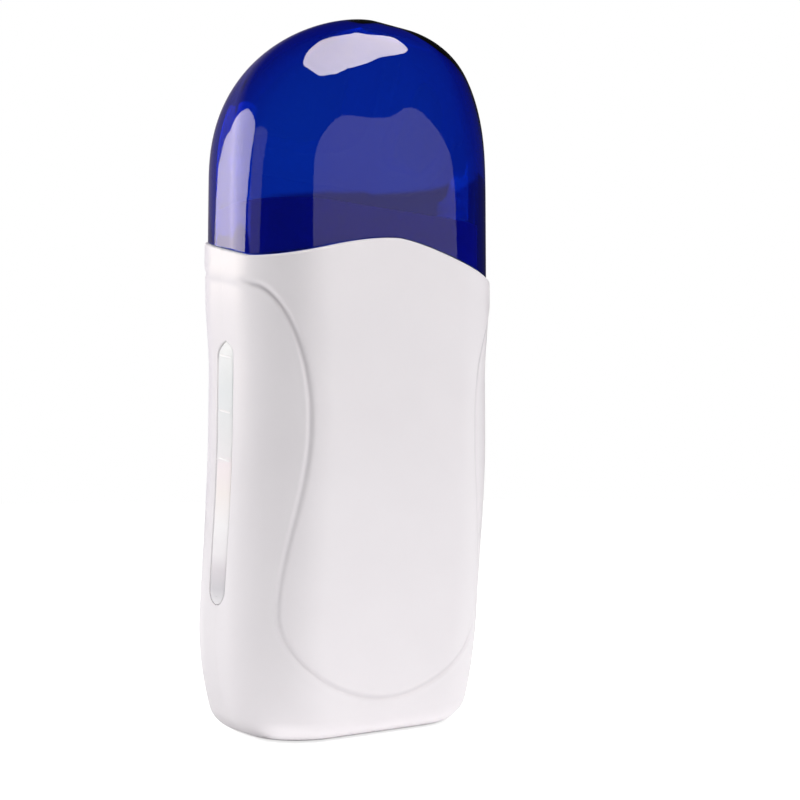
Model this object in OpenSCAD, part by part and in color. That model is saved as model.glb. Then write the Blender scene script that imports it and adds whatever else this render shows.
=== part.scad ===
// A hand-held roll-on wax heater with a translucent lift-off cap, as an assembly of its separate pieces.
// Millimetres. +Z is up, -Y is the front, and +X is to the right of someone who faces the front.
// The origin lies on the resting plane, straight below the axis of the heated well.

/* [Body] */
// Width of the body across its side grips
body_w = 82; // [80:0.5:100]
// Depth of the body from front to back
body_d = 50; // [49:0.5:62]
// Radius of the body's upright corners
corner_r = 19.7; // [16:0.1:21]
// Thickness of the two moulded shells
wall = 2.4; // [1.8:0.1:2.6]
// Thickness of the shells' floor
floor_t = 2.4; // [1.8:0.1:3.2]
// Gap along the seam between the two shells
seam_gap = 0.2; // [0.1:0.05:0.4]
// Rounding between the sides and the resting face
foot_fillet = 6.4; // [4:0.1:8]
// Height below which the body draws in towards its foot
taper_h = 33.6; // [28:0.2:42]
// Draw-in of each side at the foot
taper_side = 5.6; // [3:0.1:7]
// Draw-in of the front and of the back at the foot
taper_front = 0.9; // [0:0.1:2]
// How far the foot sits behind the well's axis
bend = 5; // [0:0.1:6]
// Height where the body's backward bend begins
bend_low = 15; // [10:1:20]
// Height where the bend has run out and the body is upright
bend_high = 85; // [75:1:95]

/* [Rim and collar] */
// Height of the rim at the front corners, carried on to the front plane
rim_h = 126; // [120:1:160]
// Rise of the rim for each millimetre towards the back
rim_tilt = 0.29; // [0:0.01:0.32]
// Rise of the rim at the middle of the front
crest_h = 11; // [0:0.5:14]
// How far the collar stands proud of the side grips
collar_side = 1.1; // [0.8:0.1:1.6]
// How far the collar stands proud at the front and the back
collar_front = 0.6; // [0.3:0.1:1]
// Height over which the body swells into its collar
collar_rise = 24; // [16:1:30]

/* [Cap] */
// Height of the cap's crown above the rim's front corners
cap_h = 73.5; // [61:0.5:90]
// How far the cap's sides stand back from the collar
cap_back_side = 0.3; // [0.1:0.1:1]
// How far the cap's front and back stand back from the collar
cap_back_front = 0.8; // [0.1:0.1:1.2]
// Radius of the cap's upright corners
cap_corner_r = 21; // [17:0.1:22]
// Thickness of the cap's wall
cap_wall = 2; // [1.6:0.1:2.4]
// Height of the crown's side curve, measured down from the crown
cap_side_drop = 51.4; // [44:0.2:56]
// Height of the crown's front curve, measured down from the crown
cap_front_drop = 12.5; // [11:0.5:24]
// Height of the crown's slope towards the back, measured down from the crown
cap_rear_drop = 44; // [36:0.5:50]
// How far the crown's highest point stands in front of the well's axis
crown_ahead = 16; // [0:0.5:16]
// Gap between the cap's edge and the body's rim
cap_edge_gap = 0.3; // [0.2:0.05:0.5]
// Gap between the cap's skirt and the neck
cap_gap = 0.35; // [0.25:0.05:0.5]

/* [Neck and well] */
// How far the neck's top stands above the rim's front corners
neck_rise = 19; // [17:0.5:24]
// How far the neck reaches down inside the shells, below the rim's front corners
neck_drop = 8; // [6:0.5:12]
// Thickness of the neck's wall
neck_wall = 1.8; // [1.4:0.1:2.2]
// Thickness of the deck around the well's mouth
deck_t = 2; // [1.6:0.1:2.6]
// Width of the well's cavity, which takes the cartridge
well_w = 56; // [50:0.5:58]
// Depth of the well's cavity
well_d = 34; // [30:0.5:34]
// Radius of the cavity's corners
well_r = 9; // [6:0.5:12]
// Thickness of the well's aluminium wall
well_wall = 1.2; // [0.8:0.1:1.4]
// Width of the flange that hangs the well under the deck
well_flange = 1.8; // [1.2:0.1:1.9]
// How far the well sits behind the origin's axis
well_y = 0.6; // [0.3:0.1:0.8]
// Height of the well's platform above the window's lowest point
platform_rise = 2; // [1:0.1:3]
// Gap between the well and the platform
seat_gap = 0.3; // [0.2:0.05:0.5]

/* [Level window] */
// Lowest point of the window
window_low = 36; // [34:0.2:44]
// Gap between the window's hidden flange and the screw tubes above it
window_clear = 0.2; // [0.2:0.1:16]
// Width of the window
window_w = 8.9; // [6:0.1:9.6]
// Height of the window's pointed top
window_tip = 4.3; // [3:0.1:6]
// How far the window's face lies below the grip's surface
window_sink = 0.4; // [0.2:0.1:0.8]
// Gap around the window in its opening
window_gap = 0.15; // [0.1:0.05:0.3]
// How far the window's hidden flange reaches past the opening
window_lip = 1.3; // [0.8:0.1:1.6]
// How far the level marks lie below the window's tip
mark_drops = [32.3, 19.3, 4.2];

/* [Heater] */
// Length of the heat spreader on the well's side
spreader_l = 62; // [56:0.5:70]
// Width of the heat spreader
spreader_w = 24; // [20:0.5:26]
// Thickness of the heat spreader
spreader_t = 2; // [1.5:0.1:2.2]
// Length of one heating stone
stone_l = 15; // [12:0.5:16]
// Width of the heating stones
stone_w = 14; // [10:0.5:15]
// Thickness of the heating stones
stone_t = 2.3; // [1.8:0.1:2.4]
// Thickness of the electrode sheets
electrode_t = 0.5; // [0.3:0.1:0.6]
// Thickness of the insulating film
film_t = 0.3; // [0.2:0.05:0.4]
// Thickness of the clamp bar
clamp_t = 1.2; // [1:0.1:1.4]
// Gap between the heat spreader and the screw tube above it
spreader_clear = 5; // [1:0.5:6]

/* [Fasteners] */
// Radius of the shell screws' shanks
screw_r = 1.3; // [1:0.05:1.5]
// Radius of the shell screws' heads
screw_head_r = 2.6; // [2.2:0.1:2.8]
// Length of the shell screws below their heads
screw_l = 14; // [10:0.5:15]
// Radius of the screws that hold the board and the clamp bar
small_screw_r = 1; // [0.8:0.05:1.1]
// Clearance around a screw in the piece that it passes through
screw_gap = 0.2; // [0.1:0.05:0.3]

/* [Power inlet] */
// Height of the inlet's centre
inlet_h = 20; // [18:0.5:24]
// Distance between the inlet's two pins
pin_pitch = 8.6; // [8:0.1:9]
// Radius of the inlet's pins
pin_r = 1.18; // [1:0.01:1.3]
// Radius of the pins' thicker roots, inside the socket's base
pin_root_r = 1.5; // [1.3:0.05:1.8]
// Free length of the pins
pin_l = 9.7; // [8:0.1:11]
// Depth of the inlet's recess
inlet_depth = 13; // [11:0.5:14]

/* [Hidden] */

fine = 48;
corner_steps = 7;
flat_steps = 6;
eps = 0.01;
thread_gap = 0.05;

// Facets of the shells and the cap, from the foot to the crown
fillet_steps = 4;
body_steps = 11;
collar_steps = 4;
skirt_steps = 3;
crown_steps = 11;

half_w = body_w / 2;
half_d = body_d / 2;
overall_h = rim_h + cap_h;
cap_half_w = half_w + collar_side - cap_back_side;
cap_half_d = half_d + collar_front - cap_back_front;
collar_low = rim_h - collar_rise - 2;
neck_top = rim_h + neck_rise;
neck_low = rim_h - neck_drop;
neck_half_w = cap_half_w - cap_wall - cap_gap;
neck_half_d = cap_half_d - cap_wall - cap_gap;
neck_r = cap_corner_r - cap_wall - cap_gap;
platform_h = window_low + platform_rise;
well_low = platform_h + seat_gap;
well_top = neck_top - deck_t;
well_side = well_w / 2 + well_wall;
well_front = well_d / 2 + well_wall;
head_room = screw_head_r + screw_gap;
tube_r = head_room + 1.4;
upper_z = neck_low - tube_r - 0.3;
window_high = upper_z - tube_r - window_clear - window_lip;
window_back = half_w - wall;

// ---- The body's form ----

function smooth_step(t) = let (s = min(max(t, 0), 1)) s * s * (3 - 2 * s);

// How far the body's section at height z sits behind the origin's axis
function centre_y(z) =
    bend / 2 * (1 + cos(180 * min(max((z - bend_low) / (bend_high - bend_low), 0), 1)));

function foot_taper(z) = z < taper_h ? pow((taper_h - z) / taper_h, 2.1) : 0;

function fillet_in(z) =
    z < foot_fillet ? foot_fillet - sqrt(pow(foot_fillet, 2) - pow(foot_fillet - z, 2)) : 0;

function collar_out(z) = smooth_step((z - collar_low) / collar_rise);

// Half width, half depth and corner radius of the body's outside at height z
function body_size(z) = [
    half_w - taper_side * foot_taper(z) - fillet_in(z) + collar_side * collar_out(z),
    half_d - taper_front * foot_taper(z) - fillet_in(z) + collar_front * collar_out(z),
    corner_r - fillet_in(z)];

// Half of a rounded rectangle, from +X round by +Y to -X, starting a gap away from the X axis
function half_outline(size, gap) = let (
    hw = size[0],
    hd = size[1],
    r = size[2],
    corner = [for (i = [0:corner_steps]) let (a = 90 * i / corner_steps)
        [hw - r + r * cos(a), hd - r + r * sin(a)]],
    flat = [for (j = [1:flat_steps - 1]) [(hw - r) * (1 - 2 * j / flat_steps), hd]],
    far_corner = [for (i = [corner_steps:-1:0]) [-corner[i][0], corner[i][1]]])
    concat([[hw, gap]], corner, flat, far_corner, [[-hw, gap]]);

// The whole outline, anticlockwise from +X
function full_outline(size) = let (rear = half_outline(size, 0), n = len(rear))
    concat(rear, [for (i = [n - 2:-1:1]) [rear[i][0], -rear[i][1]]]);

function shrink(size, by) = [size[0] - by, size[1] - by, size[2] - by];

// Height of the body's rim above the point (x, y) of its outline
function rim_z(x, y) = rim_h + rim_tilt * (y + half_d)
    + (y < 0 ? crest_h * (1 - pow(min(abs(x) / half_w, 1), 1.5)) : 0);

low_levels = concat(
    [for (i = [0:fillet_steps]) foot_fillet * (1 - cos(90 * i / fillet_steps))],
    [for (i = [1:body_steps]) foot_fillet + (collar_low - foot_fillet) * i / body_steps]);
level_count = len(low_levels) + collar_steps;

function level_z(k, top) = k < len(low_levels) ? low_levels[k]
    : collar_low + (top - collar_low) * (k - len(low_levels) + 1) / collar_steps;

// One point of a shell: side is -1 for the front and 1 for the rear, inset is 0 on the outside
function shell_point(side, k, i, inset) = let (
    rim_place = half_outline(body_size(rim_h), 0)[i],
    top = rim_z(rim_place[0], side * rim_place[1]),
    raw = level_z(k, top),
    z = inset > 0 ? floor_t + raw * (top - floor_t) / top : raw,
    p = half_outline(shrink(body_size(z), inset), seam_gap / 2)[i])
    [p[0], centre_y(z) + side * p[1], z];

module moulded_half(side) {
    n = len(half_outline(body_size(0), 0));
    m = level_count;
    points = [for (inset = [0, wall]) for (k = [0:m - 1]) for (i = [0:n - 1])
        shell_point(side, k, i, inset)];
    function id(skin, k, i) = skin * m * n + k * n + i;
    skins = [for (k = [0:m - 2]) for (i = [0:n - 2]) for (f = [
        [id(0, k, i), id(0, k + 1, i), id(0, k + 1, i + 1), id(0, k, i + 1)],
        [id(1, k, i), id(1, k, i + 1), id(1, k + 1, i + 1), id(1, k + 1, i)]]) f];
    rim = [for (i = [0:n - 2])
        [id(0, m - 1, i), id(1, m - 1, i), id(1, m - 1, i + 1), id(0, m - 1, i + 1)]];
    seams = [for (k = [0:m - 2]) for (f = [
        [id(0, k, 0), id(1, k, 0), id(1, k + 1, 0), id(0, k + 1, 0)],
        [id(0, k, n - 1), id(0, k + 1, n - 1), id(1, k + 1, n - 1), id(1, k, n - 1)]]) f];
    floors = [
        [for (i = [0:n - 1]) id(0, 0, i)],
        [for (i = [n - 1:-1:0]) id(1, 0, i)],
        [id(0, 0, n - 1), id(1, 0, n - 1), id(1, 0, 0), id(0, 0, 0)]];
    faces = concat(skins, rim, seams, floors);
    turned = side > 0 ? faces : [for (f = faces) [for (i = [len(f) - 1:-1:0]) f[i]]];
    polyhedron(points, turned, convexity = 8);
}

// ---- Flat outlines ----

module rounded_plate(hw, hd, r) {
    square([2 * (hw - r), 2 * hd], center = true);
    square([2 * hw, 2 * (hd - r)], center = true);
    for (x = [-1, 1]) for (y = [-1, 1])
        translate([x * (hw - r), y * (hd - r)]) circle(r, $fn = fine);
}

// The window's outline in the YZ plane, grown by some amount, following the body's bend
function window_outline(grow) = let (
    hw = window_w / 2 + grow,
    low = window_low - grow,
    high = window_high + grow,
    foot = low + hw,
    shoulder = high - window_tip - grow / 2,
    steps = 12,
    sides = [for (i = [0:steps]) foot + (shoulder - foot) * i / steps],
    bottom = [for (i = [-5:5]) let (a = 15 * i) [hw * sin(a), foot - hw * cos(a)]])
    concat(
        [for (p = bottom) [p[0] + centre_y(p[1]), p[1]]],
        [for (z = sides) [centre_y(z) + hw, z]],
        [for (t = [0.35, 0.7]) [centre_y(high) + hw * (1 - pow(t, 1.6)), shoulder + (high - shoulder) * t]],
        [[centre_y(high), high]],
        [for (t = [0.7, 0.35]) [centre_y(high) - hw * (1 - pow(t, 1.6)), shoulder + (high - shoulder) * t]],
        [for (i = [steps:-1:0]) [centre_y(sides[i]) - hw, sides[i]]]);

// A solid of the window's outline between two distances from the YZ plane, on the left side
module window_slab(grow, near, far) {
    translate([-far, 0, 0]) rotate([90, 0, 90]) linear_extrude(far - near)
        polygon(window_outline(grow));
}

// ---- Round pieces and wires ----

// A cylinder along Y from y0 to y1
module bar_y(x, z, y0, y1, r) {
    translate([x, y1, z]) rotate([90, 0, 0]) cylinder(h = y1 - y0, r = r, $fn = fine);
}

// A cylinder along X from x0 to x1
module bar_x(y, z, x0, x1, r) {
    translate([x0, y, z]) rotate([0, 90, 0]) cylinder(h = x1 - x0, r = r, $fn = fine);
}

module block(low, high) {
    translate(low) cube(high - low);
}

function unit(v) = v / norm(v);

function bezier(p, t) = pow(1 - t, 3) * p[0] + 3 * pow(1 - t, 2) * t * p[1]
    + 3 * (1 - t) * t * t * p[2] + pow(t, 3) * p[3];

// A round wire swept along one smooth curve with four control points; the curve never runs along across
module wire(p, r, across, rings = 14, sides = 8) {
    ring = [for (k = [0:rings]) let (
        t = k / rings,
        at = bezier(p, t),
        along = unit(bezier(p, min(t + eps, 1)) - bezier(p, max(t - eps, 0))),
        u = unit(cross(along, across)),
        v = cross(along, u))
        for (j = [0:sides - 1]) let (a = 360 * j / sides) at + r * (cos(a) * u + sin(a) * v)];
    walls = [for (k = [0:rings - 1]) for (j = [0:sides - 1]) let (q = (j + 1) % sides)
        [k * sides + j, k * sides + q, (k + 1) * sides + q, (k + 1) * sides + j]];
    ends = [[for (j = [sides - 1:-1:0]) j], [for (j = [0:sides - 1]) rings * sides + j]];
    polyhedron(ring, [for (f = concat(walls, ends)) [for (i = [len(f) - 1:-1:0]) f[i]]], convexity = 6);
}

// ---- Shells ----

// The four shell screws: place across, height, seat of the head, start of the boss, end of the tube
boss_r = screw_r + 1.5;
seat_t = 2.4;
boss_gap = 0.3;
upper_x = half_w - 7;
lower_x = half_w - 17;
lower_z = 17;
upper_seat = 6;
lower_seat = centre_y(lower_z) + 8;
screw_places = [
    [-upper_x, upper_z, upper_seat, -half_d + 8, half_d - 8],
    [upper_x, upper_z, upper_seat, -half_d + 8, half_d - 8],
    [-lower_x, lower_z, lower_seat, centre_y(lower_z) - half_d + 2, centre_y(lower_z) + half_d - 2],
    [lower_x, lower_z, lower_seat, centre_y(lower_z) - half_d + 2, centre_y(lower_z) + half_d - 2]];

module front_shell() {
    color("whitesmoke") difference() {
        union() {
            moulded_half(-1);
            for (s = screw_places) bar_y(s[0], s[1], s[3], s[2] - seat_t - boss_gap, boss_r);
        }
        for (s = screw_places)
            bar_y(s[0], s[1], s[2] - screw_l - 1, s[2], screw_r + thread_gap);
        window_slab(0, window_back - 3, half_w + 3);
    }
}

module rear_shell() {
    color("whitesmoke") difference() {
        union() {
            moulded_half(1);
            for (s = screw_places) bar_y(s[0], s[1], s[2] - seat_t, s[4], tube_r);
        }
        for (s = screw_places) {
            bar_y(s[0], s[1], s[2], s[2] + half_d + 8, head_room);
            bar_y(s[0], s[1], s[2] - seat_t - 1, s[2] + 1, screw_r + screw_gap);
        }
        window_slab(0, window_back - 3, half_w + 3);
        inlet_block(0, inlet_back, inlet_face + 3);
    }
}

module shell_screws() {
    head_h = 2;
    color("silver") for (s = screw_places) difference() {
        union() {
            bar_y(s[0], s[1], s[2], s[2] + head_h, screw_head_r);
            bar_y(s[0], s[1], s[2] - screw_l, s[2] + eps, screw_r);
        }
        for (a = [0, 90]) translate([s[0], s[2] + head_h, s[1]]) rotate([0, a, 0])
            cube([3.2, 1.6, 0.7], center = true);
    }
}

// ---- Cap ----

side_base = overall_h - cap_side_drop;
front_base = overall_h - cap_front_drop;
rear_base = overall_h - cap_rear_drop;
crown_start = side_base + 8;

// How much of its full width a curve keeps at height z: it starts at base and closes at top
function closing(z, base, top, power, root) =
    let (t = min(max((z - base) / (top - base), 0), 1)) pow(1 - pow(t, power), 1 / root);

// Half width of the cap at height z, for a surface that is inset from the outside
function cap_hw(z, inset) = (cap_half_w - inset) * closing(z, side_base, overall_h - inset, 4, 1.89);

function cap_front(z, inset) =
    -crown_ahead - (cap_half_d - inset - crown_ahead) * closing(z, front_base, overall_h - inset, 2.8, 2.8);

function cap_rear(z, inset) =
    -crown_ahead + (cap_half_d - inset + crown_ahead) * closing(z, rear_base, overall_h - inset, 2.2, 1.3);

// Point i of the cap's section at height z
function cap_point(z, inset, i) = let (
    hw = cap_hw(z, inset),
    front = cap_front(z, inset),
    rear = cap_rear(z, inset),
    hd = (rear - front) / 2,
    p = full_outline([hw, hd, min(cap_corner_r - inset, hw, hd)])[i])
    [p[0], (front + rear) / 2 + p[1], z];

// Height of level k of the cap above its lower edge
function cap_z(k, low, inset) = k < skirt_steps ? low + (crown_start - low) * k / skirt_steps
    : crown_start + (overall_h - inset - crown_start) * sin(90 * (k - skirt_steps) / crown_steps);

module cap() {
    edge = full_outline([cap_half_w, cap_half_d, cap_corner_r]);
    n = len(edge);
    outward = [body_size(rim_h)[0] / cap_half_w, body_size(rim_h)[1] / cap_half_d];
    m = skirt_steps + crown_steps;
    points = concat(
        [for (inset = [0, cap_wall]) for (k = [0:m - 1]) for (i = [0:n - 1]) let (
            low = rim_z(edge[i][0] * outward[0], edge[i][1] * outward[1]) + cap_edge_gap)
            cap_point(cap_z(k, low, inset), inset, i)],
        [for (inset = [0, cap_wall]) [0, -crown_ahead, overall_h - inset]]);
    function id(skin, k, i) = skin * m * n + k * n + i % n;
    crown = 2 * m * n;
    faces = concat(
        [for (k = [0:m - 2]) for (i = [0:n - 1]) for (f = [
            [id(0, k, i), id(0, k + 1, i), id(0, k + 1, i + 1), id(0, k, i + 1)],
            [id(1, k, i), id(1, k, i + 1), id(1, k + 1, i + 1), id(1, k + 1, i)]]) f],
        [for (i = [0:n - 1]) for (f = [
            [id(0, 0, i), id(0, 0, i + 1), id(1, 0, i + 1), id(1, 0, i)],
            [id(0, m - 1, i), crown, id(0, m - 1, i + 1)],
            [id(1, m - 1, i), id(1, m - 1, i + 1), crown + 1]]) f]);
    color("mediumblue", 0.75) polyhedron(points, faces, convexity = 8);
}

// ---- Neck and well ----

module neck_collar() {
    color("gainsboro") difference() {
        translate([0, 0, neck_low]) linear_extrude(neck_top - neck_low)
            rounded_plate(neck_half_w, neck_half_d, neck_r);
        translate([0, 0, neck_low - 1]) linear_extrude(neck_top - deck_t - neck_low + 1)
            rounded_plate(neck_half_w - neck_wall, neck_half_d - neck_wall, neck_r - neck_wall);
        translate([0, well_y, neck_top - deck_t - 1]) linear_extrude(deck_t + 2)
            rounded_plate(well_w / 2, well_d / 2, well_r);
    }
}

module heating_well() {
    sight_half_w = window_w / 2;
    sight_low = well_low + 12;
    sight_high = window_high - 8;
    color("silver") difference() {
        translate([0, well_y, 0]) union() {
            translate([0, 0, well_low]) linear_extrude(well_top - well_low)
                rounded_plate(well_side, well_front, well_r + well_wall);
            translate([0, 0, well_top - well_wall]) linear_extrude(well_wall)
                rounded_plate(well_side + well_flange, well_front + well_flange,
                              well_r + well_wall + well_flange);
        }
        translate([0, well_y, well_low + well_wall]) linear_extrude(well_top - well_low)
            rounded_plate(well_w / 2, well_d / 2, well_r);
        block([-well_side - 1, well_y - sight_half_w, sight_low],
              [-well_w / 2 + 1, well_y + sight_half_w, sight_high]);
    }
}

// ---- Level window and lamp ----

module level_window() {
    lip_t = 1;
    mark_t = 0.25;
    color("aliceblue", 0.6) union() {
        window_slab(-window_gap, window_back - lip_t, half_w - window_sink);
        window_slab(window_lip, window_back - lip_t - window_gap, window_back - window_gap);
        for (drop = mark_drops) {
            z = window_high - drop;
            block([-half_w + window_sink - mark_t, centre_y(z) - window_w / 2 + 0.8, z - 0.3],
                  [-half_w + window_sink + eps, centre_y(z) + window_w / 2 - 0.8, z + 0.3]);
        }
    }
}

lamp_r = 1.5;
lamp_z = window_low + 7;
lamp_y = centre_y(lamp_z);
lamp_tip = -window_back + 1.6;
lamp_base = lamp_tip + 5;

module indicator_lamp() {
    color("orangered", 0.8) union() {
        bar_x(lamp_y, lamp_z, lamp_tip + lamp_r, lamp_base, lamp_r);
        translate([lamp_tip + lamp_r, lamp_y, lamp_z]) sphere(lamp_r, $fn = fine);
    }
}

module lamp_holder() {
    post_w = 5;
    color("dimgray") difference() {
        block([lamp_base - 2.4, lamp_y - post_w / 2, platform_h],
              [lamp_base - 0.4, lamp_y + post_w / 2, lamp_z + 3]);
        bar_x(lamp_y, lamp_z, lamp_base - 3, lamp_base + 1, lamp_r + 0.1);
    }
}

// ---- Heater pack on the well's right side ----

spreader_low = upper_z - tube_r - spreader_clear - spreader_l;
spreader_x = well_side + spreader_t;
film_x = spreader_x + film_t;
stone_x = film_x + electrode_t;
far_electrode_x = stone_x + stone_t;
far_film_x = far_electrode_x + electrode_t;
clamp_x = far_film_x + film_t;
stack_y = well_y - 2;
stack_low = spreader_low + 20;
stone_gap = 2;
stack_l = 2 * stone_l + stone_gap + 4;
film_half_w = stone_w / 2 + 1.5;
clamp_low = stack_low - 4;
clamp_high = stack_low + stack_l + 4;
stud_r = 1.9;
clamp_screw_places = [clamp_low + 1.9, clamp_high - 1.9];

module heat_spreader() {
    color("lightgray") difference() {
        union() {
            block([well_side, well_y - spreader_w / 2, spreader_low],
                  [spreader_x, well_y + spreader_w / 2, spreader_low + spreader_l]);
            for (z = clamp_screw_places) bar_x(stack_y, z, spreader_x - eps, clamp_x, stud_r);
        }
        for (z = clamp_screw_places)
            bar_x(stack_y, z, spreader_x - 1, clamp_x + 1, small_screw_r + thread_gap);
    }
}

module sheet_on_stack(x0, x1, half_width, low, high) {
    block([x0, stack_y - half_width, low], [x1, stack_y + half_width, high]);
}

module inner_film() {
    color("goldenrod") sheet_on_stack(spreader_x, film_x, film_half_w, stack_low, stack_low + stack_l);
}

module outer_film() {
    color("goldenrod") sheet_on_stack(far_film_x, clamp_x, film_half_w, stack_low, stack_low + stack_l);
}

tab_w = 3;
tab_l = 5;

module electrode(x0, side) {
    low = stack_low + 1;
    high = stack_low + stack_l - 1;
    edge = stack_y + side * stone_w / 2;
    union() {
        sheet_on_stack(x0, x0 + electrode_t, stone_w / 2, low, high);
        block([x0, min(edge, edge + side * tab_l), low + 1],
              [x0 + electrode_t, max(edge, edge + side * tab_l), low + 1 + tab_w]);
    }
}

module inner_electrode() {
    color("peru") electrode(film_x, -1);
}

module outer_electrode() {
    color("peru") electrode(far_electrode_x, 1);
}

module heating_stones() {
    color("slategray") for (k = [0, 1]) {
        low = stack_low + 2 + k * (stone_l + stone_gap);
        sheet_on_stack(stone_x, far_electrode_x, stone_w / 2, low, low + stone_l);
    }
}

module clamp_bar() {
    color("lightsteelblue") difference() {
        sheet_on_stack(clamp_x, clamp_x + clamp_t, 4, clamp_low - 1, clamp_high + 1);
        for (z = clamp_screw_places)
            bar_x(stack_y, z, clamp_x - 1, clamp_x + clamp_t + 1, small_screw_r + screw_gap);
    }
}

module clamp_screws() {
    head_h = 1;
    color("silver") for (z = clamp_screw_places) {
        bar_x(stack_y, z, spreader_x + 0.2, clamp_x + clamp_t + eps, small_screw_r);
        bar_x(stack_y, z, clamp_x + clamp_t, clamp_x + clamp_t + head_h, small_screw_r + 0.9);
    }
}

thermostat_t = 3.7;
thermostat_w = 7.7;
thermostat_l = 14;
thermostat_low = spreader_low + 0.5;
thermostat_lead_y = 2.2;
thermostat_lead_l = 3.6;

module thermostat() {
    color("whitesmoke") union() {
        block([spreader_x, well_y - thermostat_w / 2, thermostat_low],
              [spreader_x + thermostat_t, well_y + thermostat_w / 2, thermostat_low + thermostat_l]);
        for (y = [-1, 1]) block(
            [spreader_x + 1.4, well_y + y * thermostat_lead_y - 0.6, thermostat_low - thermostat_lead_l],
            [spreader_x + 2.2, well_y + y * thermostat_lead_y + 0.6, thermostat_low + eps]);
    }
}

fuse_r = 1.8;
fuse_y = well_y + spreader_w / 2 - fuse_r - 0.2;
fuse_x = spreader_x + fuse_r;
fuse_low = stack_low + 9;
fuse_high = fuse_low + 12;
fuse_lead_l = 4;

module thermal_fuse() {
    lead_r = 0.4;
    color("khaki") translate([fuse_x, fuse_y, 0]) union() {
        translate([0, 0, fuse_low]) cylinder(h = fuse_high - fuse_low, r = fuse_r, $fn = fine);
        translate([0, 0, fuse_low - fuse_lead_l])
            cylinder(h = fuse_high - fuse_low + 2 * fuse_lead_l, r = lead_r, $fn = fine);
    }
}

// ---- Platform, board and inlet ----

inlet_sink = 0.5;
inlet_face = centre_y(inlet_h) + body_size(inlet_h)[1] - inlet_sink;
inlet_half_w = 10.2;
inlet_half_h = 6.4;
inlet_corner_r = 3;
inlet_gap = 0.2;
inlet_stop_gap = 0.3;
inlet_back = inlet_face - inlet_depth - 3.4;

platform_t = 2;
platform_y = [-11, 19];
leg_x = 11;
leg_w = 4;
leg_y = [-7, inlet_back - inlet_stop_gap - leg_w / 2];
wing_half_w = 7;
wing_reach = 3.7;
slot_half_w = 2.4;
board_gap = 0.6;
board_z = inlet_h + inlet_half_h + board_gap;
board_t = 1.6;
parts_gap = 1.4;
board_y = [-9, 16];
board_half_w = 21;
board_screw_x = 17;
board_screw_y = 3;

module platform() {
    low = platform_h - platform_t;
    color("darkgray") difference() {
        union() {
            block([-well_side, platform_y[0], low], [well_side, platform_y[1], platform_h]);
            block([lamp_base - wing_reach, lamp_y - wing_half_w, low],
                  [0, lamp_y + wing_half_w, platform_h]);
            for (x = [-leg_x, leg_x]) for (y = leg_y)
                block([x - leg_w / 2, y - leg_w / 2, floor_t],
                      [x + leg_w / 2, y + leg_w / 2, platform_h - 1]);
            for (x = [-board_screw_x, board_screw_x]) translate([x, board_screw_y, board_z + board_t])
                cylinder(h = platform_h - 1 - board_z - board_t, r = 2.4, $fn = fine);
        }
        for (x = [-board_screw_x, board_screw_x]) translate([x, board_screw_y, board_z])
            cylinder(h = 8, r = small_screw_r + thread_gap, $fn = fine);
        block([lamp_base - 0.2, lamp_y - slot_half_w, low - 1],
              [-well_side + 1.2, lamp_y + slot_half_w, platform_h + 1]);
    }
}

module circuit_board() {
    notch = leg_w + 0.8;
    color("darkolivegreen") difference() {
        block([-board_half_w, board_y[0], board_z], [board_half_w, board_y[1], board_z + board_t]);
        for (x = [-board_screw_x, board_screw_x]) translate([x, board_screw_y, board_z - 1])
            cylinder(h = board_t + 2, r = small_screw_r + screw_gap, $fn = fine);
        for (x = [-leg_x, leg_x]) for (y = leg_y)
            translate([x, y, board_z]) cube([notch, notch, 3 * board_t], center = true);
    }
}

module board_screws() {
    color("silver") for (x = [-board_screw_x, board_screw_x]) translate([x, board_screw_y, board_z]) {
        translate([0, 0, -1]) cylinder(h = 1, r = small_screw_r + 1, $fn = fine);
        translate([0, 0, -eps]) cylinder(h = 6, r = small_screw_r, $fn = fine);
    }
}

// A film capacitor, a diode and two resistors on the board
module board_parts() {
    top = board_z + board_t;
    color("firebrick") block([-6, 8, top], [4, 13, platform_h - platform_t - parts_gap]);
    color("black") bar_x(-2, top + 1.4, -10, -4, 1.4);
    color("tan") for (y = [-4, 1]) bar_x(y, top + 1.2, 1.5, 7.5, 1.2);
}

recess_r = 4.2;
recess_x = 3.9;

// A solid of the inlet's outline, grown by some amount, from y0 to y1
module inlet_block(grow, y0, y1) {
    translate([0, y1, inlet_h]) rotate([90, 0, 0]) linear_extrude(y1 - y0)
        rounded_plate(inlet_half_w + grow, inlet_half_h + grow, inlet_corner_r + grow);
}

module inlet_socket() {
    flange_t = 1.6;
    lip = 1.5;
    lip_top = inlet_h + inlet_half_h + lip;
    side = centre_y(lip_top) + body_size(lip_top)[1] - wall - 0.15;
    color("dimgray") difference() {
        union() {
            inlet_block(-inlet_gap, inlet_back, inlet_face);
            inlet_block(lip, side - flange_t, side);
        }
        for (x = [-recess_x, recess_x])
            bar_y(x, inlet_h, inlet_face - inlet_depth, inlet_face + 1, recess_r);
        block([-recess_x, inlet_face - inlet_depth, inlet_h - recess_r + 0.8],
              [recess_x, inlet_face + 1, inlet_h + recess_r - 0.8]);
        for (x = [-1, 1])
            bar_y(x * pin_pitch / 2, inlet_h, inlet_back - 1, inlet_face, pin_root_r + thread_gap);
    }
}

pin_end = inlet_back - 4;

module inlet_pins() {
    recess_end = inlet_face - inlet_depth;
    color("gold") for (x = [-1, 1]) union() {
        bar_y(x * pin_pitch / 2, inlet_h, inlet_back - 0.5, recess_end, pin_root_r);
        bar_y(x * pin_pitch / 2, inlet_h, recess_end - eps, recess_end + pin_l, pin_r);
        block([x * pin_pitch / 2 - 0.4, pin_end, inlet_h - 1],
              [x * pin_pitch / 2 + 0.4, inlet_back - 0.2, inlet_h + 1]);
    }
}

// ---- Wires that the body holds all the way ----

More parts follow.
